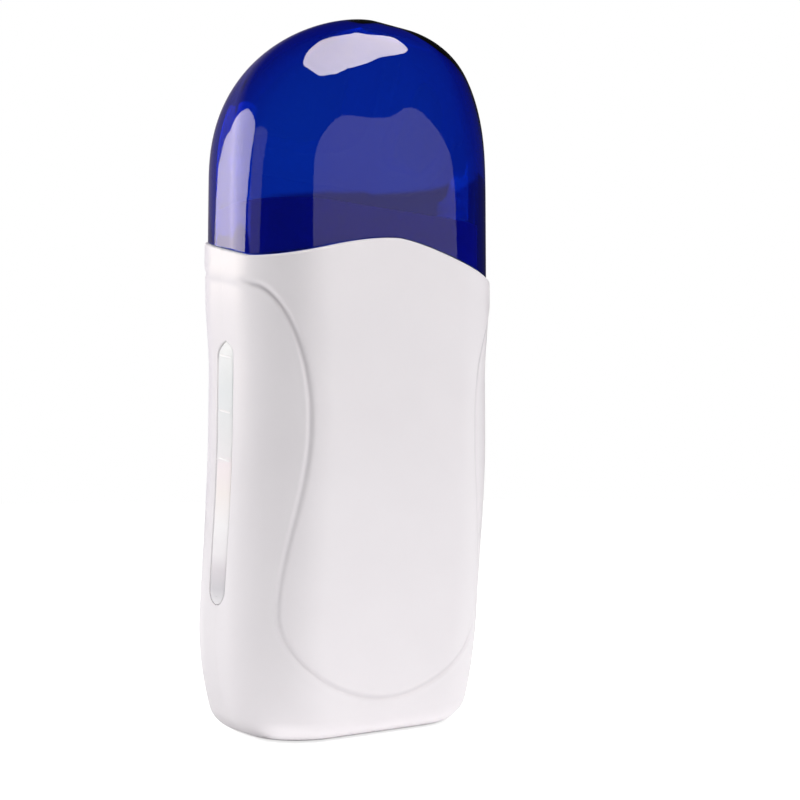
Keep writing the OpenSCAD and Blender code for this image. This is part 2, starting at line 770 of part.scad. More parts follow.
wire_r = 0.8;
thin_r = 0.4;
join_gap = 0.15;
tab_out = tab_l - 1.2;
tab_z = stack_low + 2 + tab_w / 2;

module live_wire() {
    from = [pin_pitch / 2 + 0.4 + wire_r, pin_end + 1.2, inlet_h];
    to = [fuse_x, fuse_y, fuse_low - fuse_lead_l - join_gap];
    color("brown")
        wire([from, [well_side - 3.2, -12, inlet_h - 1], to - [-3, 0, 36], to], wire_r, [0, 1, 0], 18);
}

module neutral_wire() {
    from = [-pin_pitch / 2 - 0.4 - wire_r, pin_end + 1.2, inlet_h];
    to = [spreader_x + 1.8, well_y - thermostat_lead_y, thermostat_low - thermostat_lead_l - join_gap];
    color("royalblue")
        wire([from, [-8, -4, inlet_h - 4], [to[0] + 3, -4, inlet_h - 4], to], wire_r, [1, 1, -1], 18);
}

module fuse_wire() {
    from = [fuse_x, fuse_y, fuse_high + fuse_lead_l + join_gap];
    to = [far_electrode_x + electrode_t + thin_r, stack_y + stone_w / 2 + tab_out, tab_z];
    color("brown") wire([from, from + [0, 0, 6], [to[0] + 2.4, to[1] + 1, fuse_high + 6], to],
                        thin_r, [0, 1, 0]);
}

module thermostat_wire() {
    from = [spreader_x + 1.8, well_y + thermostat_lead_y, thermostat_low - thermostat_lead_l - join_gap];
    to = [film_x + electrode_t + thin_r, stack_y - stone_w / 2 - tab_out, tab_z];
    color("royalblue")
        wire([from, from + [3.5, 0, -6], [from[0] + 3.5, to[1] - 2, thermostat_low - 6], to],
             thin_r, [1, 0, 0]);
}

module lamp_wires() {
    color("ivory") for (s = [-1, 1]) {
        from = [lamp_base + join_gap, lamp_y + s * 0.8, lamp_z];
        to = [-board_half_w + 1.5, lamp_y + s * 2, board_z + board_t + thin_r];
        turn = [from[0] + 0.3, to[1], platform_h - platform_t - 4];
        wire([from, from + [1.6, 0, 0], turn, to], thin_r, [0, 1, 0]);
    }
}

front_shell();
rear_shell();
cap();
neck_collar();
heating_well();
level_window();
heat_spreader();
heating_stones();
inner_electrode();
outer_electrode();
inner_film();
outer_film();
clamp_bar();
clamp_screws();
thermostat();
thermal_fuse();
platform();
circuit_board();
board_parts();
board_screws();
indicator_lamp();
lamp_holder();
inlet_socket();
inlet_pins();
shell_screws();
live_wire();
neutral_wire();
fuse_wire();
thermostat_wire();
lamp_wires();
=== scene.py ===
import math

import bpy
import numpy as np
from mathutils import Matrix, Vector
from mathutils.geometry import delaunay_2d_cdt


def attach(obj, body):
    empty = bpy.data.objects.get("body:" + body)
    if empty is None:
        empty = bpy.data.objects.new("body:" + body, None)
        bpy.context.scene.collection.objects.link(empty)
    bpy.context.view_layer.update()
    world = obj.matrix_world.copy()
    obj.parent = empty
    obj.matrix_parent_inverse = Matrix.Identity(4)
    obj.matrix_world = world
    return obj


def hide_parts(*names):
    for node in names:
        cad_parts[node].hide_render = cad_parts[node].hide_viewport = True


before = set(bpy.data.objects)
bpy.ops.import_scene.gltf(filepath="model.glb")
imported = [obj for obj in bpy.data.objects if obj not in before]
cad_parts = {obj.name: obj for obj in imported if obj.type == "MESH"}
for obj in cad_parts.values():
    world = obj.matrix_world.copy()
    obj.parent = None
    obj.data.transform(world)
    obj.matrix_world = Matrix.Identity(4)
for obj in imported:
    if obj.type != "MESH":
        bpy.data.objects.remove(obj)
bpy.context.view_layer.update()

mm = 0.001
scene = bpy.context.scene


# Small helpers

def linkObject(name, mesh, material=None):
    piece = bpy.data.objects.new(name, mesh)
    scene.collection.objects.link(piece)
    if material:
        mesh.materials.append(material)
    return piece


def meshFrom(name, points, faces, check=True):
    mesh = bpy.data.meshes.new(name)
    mesh.from_pydata([tuple(p) for p in np.asarray(points) * mm], [], [tuple(int(i) for i in f) for f in faces])
    if check:
        mesh.validate()
    mesh.update()
    mesh.shade_smooth()
    return mesh


def smoothStep(t):
    t = np.clip(t, 0, 1)
    return t * t * (3 - 2 * t)


def unitRows(v):
    return v / np.maximum(np.linalg.norm(v, axis=-1, keepdims=True), 1e-12)


def rounding(distance, radius):
    # how far an edge of this radius falls back at a distance from the edge
    t = np.clip(radius - distance, 0, radius)
    return radius - np.sqrt(np.maximum(radius * radius - t * t, 0))


def bandFaces(loops, count, start=0, closed=False, flip=False):
    # quads between loops of count points, where each loop follows the one before
    faces = []
    for r in range(loops if closed else loops - 1):
        low, high = start + r * count, start + (r + 1) % loops * count
        for k in range(count):
            n = (k + 1) % count
            faces.append((low + k, high + k, high + n, low + n) if flip else (low + k, low + n, high + n, high + k))
    return faces


# Materials

def emptyTree(owner):
    owner.use_nodes = True
    owner.node_tree.nodes.clear()
    return owner.node_tree


def setValues(node, values):
    for socket, value in values.items():
        node.inputs[socket].default_value = value


def addNode(tree, kind, values=None, **settings):
    node = tree.nodes.new("ShaderNode" + kind)
    for setting, value in settings.items():
        setattr(node, setting, value)
    setValues(node, values or {})
    return node


def plug(tree, value, socket):
    # the value is a number, a colour or another node's output
    if isinstance(value, bpy.types.NodeSocket):
        tree.links.new(value, socket)
    else:
        socket.default_value = (*value, 1) if isinstance(value, tuple) else value


def newMaterial(name):
    material = bpy.data.materials.new(name)
    tree = emptyTree(material)
    output = addNode(tree, "OutputMaterial")
    shader = addNode(tree, "BsdfPrincipled")
    tree.links.new(shader.outputs["BSDF"], output.inputs["Surface"])
    return material, tree, shader, addNode(tree, "TexCoord").outputs["Object"]


def shaderOf(material):
    return material.node_tree.nodes["Principled BSDF"]


def noiseFrom(tree, vector, scale, detail=3.0):
    noise = addNode(tree, "TexNoise", {"Scale": scale, "Detail": detail, "Roughness": 0.55})
    tree.links.new(vector, noise.inputs["Vector"])
    return noise.outputs["Fac"]


def rangeOf(tree, value, low, high, fromLow=0.3, fromHigh=0.7, **settings):
    ends = {"From Min": fromLow, "From Max": fromHigh, "To Min": low, "To Max": high}
    span = addNode(tree, "MapRange", ends, **settings)
    tree.links.new(value, span.inputs["Value"])
    return span.outputs["Result"]


def colourRamp(tree, value, stops):
    ramp = addNode(tree, "ValToRGB")
    elements = ramp.color_ramp.elements
    while len(elements) < len(stops):
        elements.new(0.5)
    for element, (position, colour) in zip(elements, stops):
        element.position = position
        element.color = (*colour, 1)
    tree.links.new(value, ramp.inputs["Fac"])
    return ramp.outputs["Color"]


def mixColours(tree, factor, first, second):
    mix = addNode(tree, "Mix", data_type="RGBA")
    for value, socket in ((factor, mix.inputs["Factor"]), (first, mix.inputs[6]), (second, mix.inputs[7])):
        plug(tree, value, socket)
    return mix.outputs[2]


def mathOf(tree, operation, *values):
    node = addNode(tree, "Math", operation=operation)
    for value, socket in zip(values, node.inputs):
        plug(tree, value, socket)
    return node.outputs[0]


def bumpFrom(tree, height, shader, distance, strength=0.5):
    bump = addNode(tree, "Bump", {"Strength": strength, "Distance": distance})
    tree.links.new(height, bump.inputs["Height"])
    tree.links.new(bump.outputs["Normal"], shader.inputs["Normal"])


def mouldedPlastic(name, first, second, roughness, grain=900.0, depth=0.00001, flow=30.0):
    # injection-moulded plastic: a faint flow tint, an uneven polish and a very fine surface grain
    material, tree, shader, place = newMaterial(name)
    tint = colourRamp(tree, noiseFrom(tree, place, flow, 2.0), ((0.35, first), (0.65, second)))
    tree.links.new(tint, shader.inputs["Base Color"])
    polish = noiseFrom(tree, place, flow * 4)
    tree.links.new(rangeOf(tree, polish, *roughness), shader.inputs["Roughness"])
    bumpFrom(tree, noiseFrom(tree, place, grain, 2.0), shader, depth)
    return material


def drawnMetal(name, first, second, roughness, stretch=(60, 60, 1500)):
    # rolled or drawn metal: fine lines along one direction
    material, tree, shader, place = newMaterial(name)
    mapping = addNode(tree, "Mapping", {"Scale": stretch})
    tree.links.new(place, mapping.inputs["Vector"])
    drawn = noiseFrom(tree, mapping.outputs["Vector"], 1.0)
    tint = colourRamp(tree, drawn, ((0.35, first), (0.65, second)))
    tree.links.new(tint, shader.inputs["Base Color"])
    tree.links.new(rangeOf(tree, drawn, *roughness), shader.inputs["Roughness"])
    bumpFrom(tree, drawn, shader, 0.00001)
    shader.inputs["Metallic"].default_value = 1.0
    return material


# Camera

cameraPlace = {"at": (-191.4, -293.3, 68.4), "towards": (0.5793, 0.8121, 0.0709), "lens": 54.13, "sensor": 36.0}


def makeCamera():
    data = bpy.data.cameras.new("mainCamera")
    data.sensor_fit = "HORIZONTAL"
    data.sensor_width = cameraPlace["sensor"]
    data.lens = cameraPlace["lens"]
    data.clip_start = 0.01
    data.clip_end = 50.0
    camera = bpy.data.objects.new("mainCamera", data)
    camera.location = [v * mm for v in cameraPlace["at"]]
    camera.rotation_euler = Vector(cameraPlace["towards"]).to_track_quat("-Z", "Y").to_euler()
    scene.collection.objects.link(camera)
    scene.camera = camera


makeCamera()
print("camera placed")


# The body's form, in millimetres. A point of a shell has two sheet coordinates: s runs round the
# section from the middle of the front (or back), and v runs up the wall.

body = {
    "halfWidth": 41.0, "halfDepth": 25.0, "cornerRadius": 19.7, "wall": 2.4, "fillet": 6.4,
    "taperHeight": 33.6, "taperSide": 5.6, "taperFront": 0.9, "bend": 5.0, "bendLow": 15.0, "bendHigh": 85.0,
    "rimHeight": 126.0, "rimTilt": 0.29, "crest": 11.0, "collarSide": 1.1, "collarFront": 0.6,
    "collarLow": 100.0, "collarRise": 24.0, "seamGap": 0.03, "rimRounding": 0.8, "openingRounding": 0.35,
}
groove = {
    "depth": 0.58, "width": 0.85, "step": 0.3, "stepStart": 0.4, "stepSpan": 2.8,
    "sideFade": (41.0, 10.0), "sideLoss": 0.92, "shade": (0.5, 0.2), "shadeRise": (88, 22),
    "shadeShift": (0.45, 0.3), "shadeWidth": 0.6,
}
window = {
    "low": 36.0, "length": 71.8, "halfWidth": 4.45, "tip": 4.3, "tipPower": 2.3, "sink": 0.4, "gap": 0.1,
    "layers": ((0.0, -2.0), (0.0, -0.35), (0.1, -0.12), (0.3, -0.02), (0.9, 0.06), (2.2, 0.14)),
}

flatHalf = body["halfWidth"] - body["cornerRadius"]
sideHalf = body["halfDepth"] - body["cornerRadius"]
arcEnd = flatHalf + body["cornerRadius"] * math.pi / 2
seamAt = arcEnd + sideHalf
footLow = body["fillet"] * (1 - math.pi / 2)
windowHigh = window["low"] + window["length"]


def centreY(z):
    t = np.clip((z - body["bendLow"]) / (body["bendHigh"] - body["bendLow"]), 0, 1)
    return body["bend"] / 2 * (1 + np.cos(np.pi * t))


def sectionAt(v):
    # height, half width, half depth and corner radius of the section at v
    fillet = body["fillet"]
    turn = np.clip((fillet - v) / fillet, 0, math.pi / 2)
    z = np.where(v < fillet, fillet * (1 - np.sin(turn)), v)
    inset = fillet * (1 - np.cos(turn))
    taper = np.clip((body["taperHeight"] - z) / body["taperHeight"], 0, 1) ** 2.1
    out = smoothStep((z - body["collarLow"]) / body["collarRise"])
    halfWidth = body["halfWidth"] - body["taperSide"] * taper + body["collarSide"] * out - inset
    halfDepth = body["halfDepth"] - body["taperFront"] * taper + body["collarFront"] * out - inset
    return z, halfWidth, halfDepth, body["cornerRadius"] - inset


def bodyPoint(side, s, v):
    z, halfWidth, halfDepth, radius = sectionAt(v)
    across = np.abs(s)
    turn = np.clip((across - flatHalf) / body["cornerRadius"], 0, math.pi / 2)
    along = np.clip(across / flatHalf, 0, 1)
    back = np.maximum((across - arcEnd) / sideHalf, 0)
    x = np.sign(s) * (along * (halfWidth - radius) + radius * np.sin(turn))
    y = (halfDepth - radius) * (1 - back) + radius * np.cos(turn) + body["seamGap"] / 2
    return np.stack([x, centreY(z) + side * y, z], -1)


def bodyNormal(side, s, v, surface=None, step=0.02):
    surface = surface or bodyPoint
    alongS = surface(side, s + step, v) - surface(side, s - step, v)
    alongV = surface(side, s, v + step) - surface(side, s, v - step)
    return unitRows(np.cross(alongS, alongV) * -side)


def rimOver(x, y, front):
    # height of the rim over a place, with its crest where front is true
    crest = body["crest"] * (1 - np.clip(np.abs(x) / body["halfWidth"], 0, 1) ** 1.5)
    return body["rimHeight"] + body["rimTilt"] * (y + body["halfDepth"]) + np.where(front, crest, 0)


def rimAt(side, s):
    place = bodyPoint(side, s, np.full_like(s, body["rimHeight"]))
    return rimOver(place[..., 0], place[..., 1], side < 0)


def windowShape(grow):
    # half width, lowest point, centre of the round foot, start of the tip, and tip of the opening
    half = window["halfWidth"] + grow
    low = window["low"] - grow
    return half, low, low + half, windowHigh - window["tip"] - grow / 2, windowHigh + grow


def windowHalf(v):
    # half width of the window's opening at height v, and below zero outside it
    half, low, foot, shoulder, top = windowShape(0.0)
    bottom = np.sqrt(np.maximum(half * half - (np.minimum(v, foot) - foot) ** 2, 0))
    point = half * (1 - np.clip((v - shoulder) / (top - shoulder), 0, 1) ** window["tipPower"])
    inside = np.where(v < foot, bottom, np.where(v > shoulder, point, half))
    return np.where((v < low) | (v > top), -1.0, inside)


def windowOutline(grow=0.0, spacing=0.35):
    # one side of the opening from its lowest point to its tip, as offset from the seam and height
    half, low, foot, shoulder, top = windowShape(grow)
    turns = np.linspace(0, math.pi / 2, int(half * math.pi / 2 / spacing) + 2)
    sides = np.linspace(foot, shoulder, int((shoulder - foot) / 0.9))[1:]
    points = np.linspace(0, 1, 16)[1:]
    offset = np.concatenate([half * np.sin(turns), np.full(len(sides), half),
                             half * (1 - points ** window["tipPower"])])
    height = np.concatenate([foot - half * np.cos(turns), sides, shoulder + (top - shoulder) * points])
    return np.stack([offset, height], -1)


# The panel line: round the foot of the panel, in to a waist, out over the corner and across the side

panelLine = {
    -1: {"low": 10.6, "footHalf": 33.4, "footHeight": 36.0, "waist": 27.9, "waistHeight": 85.0,
         "shoulder": 41.9, "shoulderHeight": 121.2, "sideRise": 5.2, "turn": 80},
    1: {"low": 10.6, "footHalf": 33.4, "footHeight": 36.0, "waist": 26.5, "waistHeight": 85.0,
        "shoulder": 41.9, "shoulderHeight": 129.0, "sideRise": -3.6, "turn": 90},
}


def sheetFromX(x):
    turn = np.arcsin(np.clip((x - flatHalf) / body["cornerRadius"], 0, 1))
    return np.where(x > flatHalf, flatHalf + body["cornerRadius"] * turn, x)


def grooveLine(side):
    p = panelLine[side]
    t = np.linspace(0, math.pi / 2, 60)
    low = np.stack([sheetFromX(p["footHalf"] * np.sin(t)),
                    p["footHeight"] - (p["footHeight"] - p["low"]) * np.cos(t)], -1)
    z = np.linspace(p["footHeight"], p["waistHeight"], 60)[1:]
    blend = 0.5 + 0.5 * np.cos(np.pi * (z - p["footHeight"]) / (p["waistHeight"] - p["footHeight"]))
    middle = np.stack([sheetFromX(p["waist"] + (p["footHalf"] - p["waist"]) * blend), z], -1)
    last = math.radians(p["turn"])
    t = np.linspace(0, last, 60)[1:]
    waistAt = middle[-1, 0]
    high = np.stack([waistAt + (p["shoulder"] - waistAt) * (1 - np.cos(t)) / (1 - math.cos(last)),
                     p["waistHeight"] + (p["shoulderHeight"] - p["waistHeight"]) * np.sin(t) / math.sin(last)], -1)
    t = np.linspace(0, 1, 24)[1:]
    reach = seamAt + 2 - p["shoulder"]
    out = np.stack([p["shoulder"] + reach * t, p["shoulderHeight"] + p["sideRise"] * t], -1)
    return np.concatenate([low, middle, high, out])


def distanceToLine(points, line, chunk=4000):
    # signed: above zero on the grip's side of the panel line
    start, along = line[:-1], line[1:] - line[:-1]
    best = np.zeros(len(points))
    for first in range(0, len(points), chunk):
        part = points[first:first + chunk]
        gap = part[:, None] - start[None]
        t = np.clip((gap * along[None]).sum(-1) / (along ** 2).sum(-1)[None], 0, 1)
        off = gap - along[None] * t[..., None]
        length = np.hypot(off[..., 0], off[..., 1])
        nearest = length.argmin(1)
        rows = np.arange(len(part))
        cross = along[nearest, 0] * off[rows, nearest, 1] - along[nearest, 1] * off[rows, nearest, 0]
        best[first:first + chunk] = length[rows, nearest] * np.where(cross > 0, -1.0, 1.0)
    return best


def grooveDistance(s, v, line):
    return distanceToLine(np.stack([np.abs(s), v], -1), line)


def sideFade(s):
    start, span = groove["sideFade"]
    return smoothStep((np.abs(s) - start) / span)


def reliefAt(side, s, v, line):
    # how far the real surface stands out from the plain form
    d = grooveDistance(s, v, line)
    fade = 1 - groove["sideLoss"] * sideFade(s)
    height = -groove["depth"] * fade * np.exp(-(d / groove["width"]) ** 2)
    height -= groove["step"] * smoothStep((d + groove["stepStart"]) / groove["stepSpan"])
    height -= rounding(rimAt(side, s) - v, body["rimRounding"])
    return height - rounding(windowEdgeDistance(s, v), body["openingRounding"])


def paintedGrooveShadeAt(s, v, line):
    # painted shade: the colour darkens along the groove, most of all round the upper corner
    start, span = groove["shadeRise"]
    high = smoothStep((v - start) / span)
    most, least = groove["shade"]
    move, rest = groove["shadeShift"]
    across = (grooveDistance(s, v, line) - move * high + rest) / groove["shadeWidth"]
    return (least + (most - least) * high) * (1 - sideFade(s)) * np.exp(-across ** 2)


windowRing = windowOutline(0.0, 0.2)


def windowEdgeDistance(s, v):
    # distance outwards from the window's opening, which lies on the left seam
    near = (s < -seamAt + window["halfWidth"] + 3) & (v > window["low"] - 3) & (v < windowHigh + 3)
    result = np.full(len(s), 9.0)
    if near.any():
        points = np.stack([s[near] + seamAt, v[near]], -1)
        gap = points[:, None] - windowRing[None]
        result[near] = np.hypot(gap[..., 0], gap[..., 1]).min(1)
    return result


# Openings in the rear shell: four screw recesses and the power inlet

screws = {"upper": (34.0, 113.5, 6.0), "lower": (24.0, 17.0, 12.99), "recess": 2.8, "tube": 4.2, "seat": 2.4,
          "shank": 1.5, "clear": 0.04, "under": 1.3, "around": 40}
inlet = {"height": 20.0, "halfWidth": 10.2, "halfHeight": 6.4, "corner": 3.0}


def sheetFromPlace(x, z):
    # sheet coordinates of the point of the shell behind (x, z), above the foot's fillet
    _, halfWidth, halfDepth, radius = sectionAt(z)
    flat = halfWidth - radius
    across = np.abs(x)
    turn = np.arcsin(np.clip((across - flat) / radius, 0, 1))
    s = np.where(across > flat, flatHalf + body["cornerRadius"] * turn, across / flat * flatHalf)
    return np.sign(x) * s


def rearHoles():
    holes = []
    turns = np.linspace(0, 2 * math.pi, 41)[:-1]
    radius = screws["recess"] + screws["clear"]
    for name in ("upper", "lower"):
        x, z, _ = screws[name]
        for hand in (-1, 1):
            ringZ = z + radius * np.sin(turns)
            holes.append(np.stack([sheetFromPlace(hand * x + radius * np.cos(turns), ringZ), ringZ], -1))
    ring = []
    flatX, flatZ = inlet["halfWidth"] - inlet["corner"], inlet["halfHeight"] - inlet["corner"]
    for cx, cz, first in ((1, 1, 0), (-1, 1, 90), (-1, -1, 180), (1, -1, 270)):
        for turn in range(0, 91, 15):
            a = math.radians(first + turn)
            ring.append((cx * flatX + inlet["corner"] * math.cos(a),
                         inlet["height"] + cz * flatZ + inlet["corner"] * math.sin(a)))
    ring = np.array(ring)
    holes.append(np.stack([sheetFromPlace(ring[:, 0], ring[:, 1]), ring[:, 1]], -1))
    return holes


def insidePolygon(points, ring):
    x, y = points[:, 0], points[:, 1]
    inside = np.zeros(len(points), bool)
    for (ax, ay), (bx, by) in zip(ring, np.roll(ring, -1, axis=0)):
        crosses = (ay > y) != (by > y)
        at = (bx - ax) * (y - ay) / np.where(by == ay, 1e-9, by - ay) + ax
        inside ^= crosses & (x < at)
    return inside


sheet = {
    "row": 1.7, "column": 1.6, "top": 142, "footRow": 0.9, "lineStep": 0.8, "edgeStep": 0.9, "clear": 0.75,
    "grooveRows": (0, 0.28, 0.56, 0.85, 1.2, 1.6, 2.1, 2.8), "rimRows": (0.06, 0.16, 0.32, 0.55, 0.85, 1.5),
    "openingRows": (0.05, 0.13, 0.24, 0.4, 0.8), "holeRows": (0.35, 1.0), "seamSteps": (150, 28, 44),
}


def lengthsOf(line):
    return np.concatenate([[0], np.cumsum(np.hypot(*np.diff(line, axis=0).T))])


def alongLine(line, spacing):
    lengths = lengthsOf(line)
    at = np.linspace(0, lengths[-1], int(lengths[-1] / spacing) + 1)
    points = np.stack([np.interp(at, lengths, line[:, k]) for k in (0, 1)], -1)
    tangent = unitRows(np.gradient(points, axis=0))
    return points, np.stack([tangent[:, 1], -tangent[:, 0]], -1)


def sheetRow(s, v):
    return np.stack(np.broadcast_arrays(s, v), -1)


def closeTo(points, others, clear):
    # whether a point has one of the others nearer than this along both axes
    cells = {}
    for q in others:
        cells.setdefault((int(q[0] // 1), int(q[1] // 1)), []).append(q)
    close = []
    for p in points:
        i, j = int(p[0] // 1), int(p[1] // 1)
        close.append(any(abs(p[0] - q[0]) < clear and abs(p[1] - q[1]) < clear
                         for di in (-1, 0, 1) for dj in (-1, 0, 1) for q in cells.get((i + di, j + dj), ())))
    return np.array(close)


def sheetPoints(side, line, holes):
    # boundary ring of the sheet, and the points inside it that the surface needs
    right, above, below = sheet["seamSteps"]
    bottomS = np.linspace(-seamAt, seamAt, int(2 * seamAt / sheet["edgeStep"]))
    topS = bottomS[::-1]
    top = rimAt(side, topS)
    outline = windowOutline()
    ring = np.concatenate([
        sheetRow(bottomS, footLow),
        sheetRow(seamAt, np.linspace(footLow, float(rimAt(side, np.array([seamAt]))[0]), right)[1:-1]),
        sheetRow(topS, top),
        sheetRow(-seamAt, np.linspace(float(top[-1]), windowHigh, above)[1:-1]),
        sheetRow(-seamAt + outline[::-1, 0], outline[::-1, 1]),
        sheetRow(-seamAt, np.linspace(window["low"], footLow, below)[1:-1])])
    ring = ring[np.concatenate([[True], np.hypot(*np.diff(ring, axis=0).T) > 1e-4])]

    special = []
    base, normal = alongLine(line, sheet["lineStep"])
    for hand in (-1, 1):
        for offset in sheet["grooveRows"]:
            for way in ((1,) if offset == 0 else (-1, 1)):
                row = base + normal * offset * way
                special.append(row[row[:, 0] > 0.15] * (hand, 1))
    special += [sheetRow(topS, top - drop) for drop in sheet["rimRows"]]
    for grow in sheet["openingRows"]:
        outside = windowOutline(grow, 0.5)
        special.append(sheetRow(-seamAt + outside[:, 0], outside[:, 1]))
    for v in np.arange(footLow + sheet["footRow"], body["fillet"] + 0.5, sheet["footRow"]):
        special.append(sheetRow(bottomS, v))
    for hole in holes:
        special += [hole + unitRows(hole - hole.mean(0)) * grow for grow in sheet["holeRows"]]
    special = np.concatenate(special)

    rows = np.arange(body["fillet"] + 1.2, sheet["top"], sheet["row"])
    columns = np.arange(-seamAt + 0.9, seamAt - 0.5, sheet["column"])
    grid = np.stack(np.meshgrid(columns, rows), -1)
    grid[1::2, :, 0] += sheet["column"] / 2
    grid = grid.reshape(-1, 2)
    near = closeTo(grid, np.concatenate([special, ring] + holes), sheet["clear"])
    points = np.concatenate([special, grid[~near]])
    s, v = points[:, 0], points[:, 1]
    opening = np.where((v > window["low"] - 0.1) & (v < windowHigh + 0.1), windowHalf(v), -1.0)
    good = (np.abs(s) < seamAt - 0.08) & (v > footLow + 0.1) & (v < rimAt(side, s) - 0.03)
    good &= ~((opening > -0.5) & (s < -seamAt + opening + 0.03))
    for hole in holes:
        good &= ~insidePolygon(points, hole)
    return ring, points[good]


def flatTriangles(ring, inner, holes):
    # triangles between the ring and the holes, all turned the same way, and their corners
    edges, base = [], 0
    for index, loop in enumerate([ring, inner] + holes):
        if index != 1:
            edges += [(base + i, base + (i + 1) % len(loop)) for i in range(len(loop))]
        base += len(loop)
    corners = [Vector(p) for p in np.concatenate([ring, inner] + holes)]
    verts, _, triangles, *_ = delaunay_2d_cdt(corners, edges, [list(range(len(ring)))], 1, 1e-6)
    verts = np.array([tuple(p) for p in verts])
    triangles = np.array([tuple(t) for t in triangles])
    centres = verts[triangles].mean(1)
    inside = insidePolygon(centres, ring)
    for hole in holes:
        inside &= ~insidePolygon(centres, hole)
    triangles = triangles[inside]
    a, b, c = (verts[triangles[:, k]] for k in range(3))
    turn = (b[:, 0] - a[:, 0]) * (c[:, 1] - a[:, 1]) - (b[:, 1] - a[:, 1]) * (c[:, 0] - a[:, 0])
    triangles[turn < 0] = triangles[turn < 0][:, ::-1]
    used = np.unique(triangles)
    order = np.full(len(verts), -1)
    order[used] = np.arange(len(used))
    return verts[used], order[triangles]


def shellMesh(name, side):
    line = grooveLine(side)
    holes = rearHoles() if side > 0 else []
    verts, triangles = flatTriangles(*sheetPoints(side, line, holes), holes)
    if side > 0:
        triangles = triangles[:, ::-1]
    s, v = verts[:, 0], verts[:, 1]

    def finished(which, s, v):
        return bodyPoint(which, s, v) + bodyNormal(which, s, v) * reliefAt(which, s, v, line)[:, None]

    def atFoot(i):
        return v[i] < footLow + 1e-3

    outside = finished(side, s, v)
    outsideNormal = bodyNormal(side, s, v, finished)
    plainNormal = bodyNormal(side, s, v)
    inside = bodyPoint(side, s, v) - plainNormal * body["wall"]
    count = len(verts)

    # the open edges of the sheet become walls, and the floor closes the foot
    seen = dict.fromkeys((p, q) for t in triangles for p, q in ((t[0], t[1]), (t[1], t[2]), (t[2], t[0])))
    openEdges = [(p, q) for p, q in seen if (q, p) not in seen]
    walls = [(q, p, p + count, q + count) for p, q in openEdges if not (atFoot(p) and atFoot(q))]
    foot = sorted((i for i in range(count) if atFoot(i)), key=lambda i: s[i])
    floorOut = foot if side > 0 else foot[::-1]
    floorIn = [i + count for i in floorOut[::-1]]
    first, last = floorOut[-1], floorOut[0]
    seamWall = (first, last, last + count, first + count)
    faces = [tuple(t) for t in triangles] + [tuple(t[::-1] + count) for t in triangles] + walls
    faces += [tuple(floorOut), tuple(floorIn), seamWall]

    mesh = meshFrom(name, np.concatenate([outside, inside]), faces, check=False)
    normals = np.concatenate([outsideNormal, -plainNormal])
    loopNormals = []
    for polygon in mesh.polygons:
        flat = polygon.index >= 2 * len(triangles)  # a wall or the floor
        loopNormals += [tuple(polygon.normal if flat else normals[i]) for i in polygon.vertices]
    mesh.normals_split_custom_set(loopNormals)
    # painted shade along the groove, kept on the points for the material
    shade = mesh.attributes.new("paintedGrooveShade", "FLOAT", "POINT")
    shade.data.foreach_set("value", np.concatenate([paintedGrooveShadeAt(s, v, line), np.zeros(count)]).astype(np.float32))
    return mesh


whiteShell = mouldedPlastic("glossyWhitePlastic", (0.82, 0.785, 0.81), (0.84, 0.805, 0.83),
                            (0.28, 0.36), 1400.0, 0.000004)
whiteShader = shaderOf(whiteShell)
whiteShader.inputs["IOR"].default_value = 1.36
tree = whiteShell.node_tree
# painted shade: the groove attribute mixes the base colour towards a dark tone along the groove
shade = addNode(tree, "Attribute", attribute_name="paintedGrooveShade").outputs["Fac"]
clean = whiteShader.inputs["Base Color"].links[0].from_socket
tree.links.new(mixColours(tree, shade, clean, (0.40, 0.38, 0.41)), whiteShader.inputs["Base Color"])

frontShell = linkObject("frontShell", shellMesh("frontShell", -1), whiteShell)
print("front shell", len(frontShell.data.polygons))
rearShell = linkObject("rearShell", shellMesh("rearShell", 1), whiteShell)
print("rear shell", len(rearShell.data.polygons))


# Screw tubes behind the recesses of the rear shell

def surfaceY(x, z):
    s = sheetFromPlace(np.array([x]), np.array([z]))
    return float(bodyPoint(1, s, np.array([float(z)]))[0, 1])


def tubeMesh(name):
    points, faces = [], []
    around = screws["around"]
    for key in ("upper", "lower"):
        x, z, seat = screws[key]
        rings = [(screws["shank"], seat - screws["seat"]), (screws["shank"], seat), (screws["recess"], seat),
                 (screws["recess"], None), (screws["tube"], None), (screws["tube"], seat - screws["seat"])]
        for hand in (-1, 1):
            faces += bandFaces(len(rings), around, len(points), closed=True)
            for radius, y in rings:
                for k in range(around):
                    a = 2 * math.pi * k / around
                    px, pz = hand * x + radius * math.cos(a), z + radius * math.sin(a)
                    points.append((px, surfaceY(px, pz) - screws["under"] if y is None else y, pz))
    mesh = meshFrom(name, points, faces)
    mesh.set_sharp_from_angle(angle=math.radians(35))
    return mesh


screwTubes = linkObject("screwTubes", tubeMesh("screwTubes"), whiteShell)


# Cap

capForm = {
    "halfWidth": 41.8, "halfDepth": 24.8, "corner": 21.0, "wall": 2.0, "top": 199.5, "sideDrop": 51.4,
    "frontDrop": 12.5, "rearDrop": 44.0, "ahead": 16.0, "edgeGap": 0.3, "skirtRise": 4.0, "cornerSteps": 26,
    "flatSteps": 26, "endSteps": 8, "skirtRows": 40, "crownRows": 64,
}


def closing(z, base, top, power, root):
    t = np.clip((z - base) / (top - base), 0, 1)
    return np.maximum(1 - t ** power, 0) ** (1 / root)


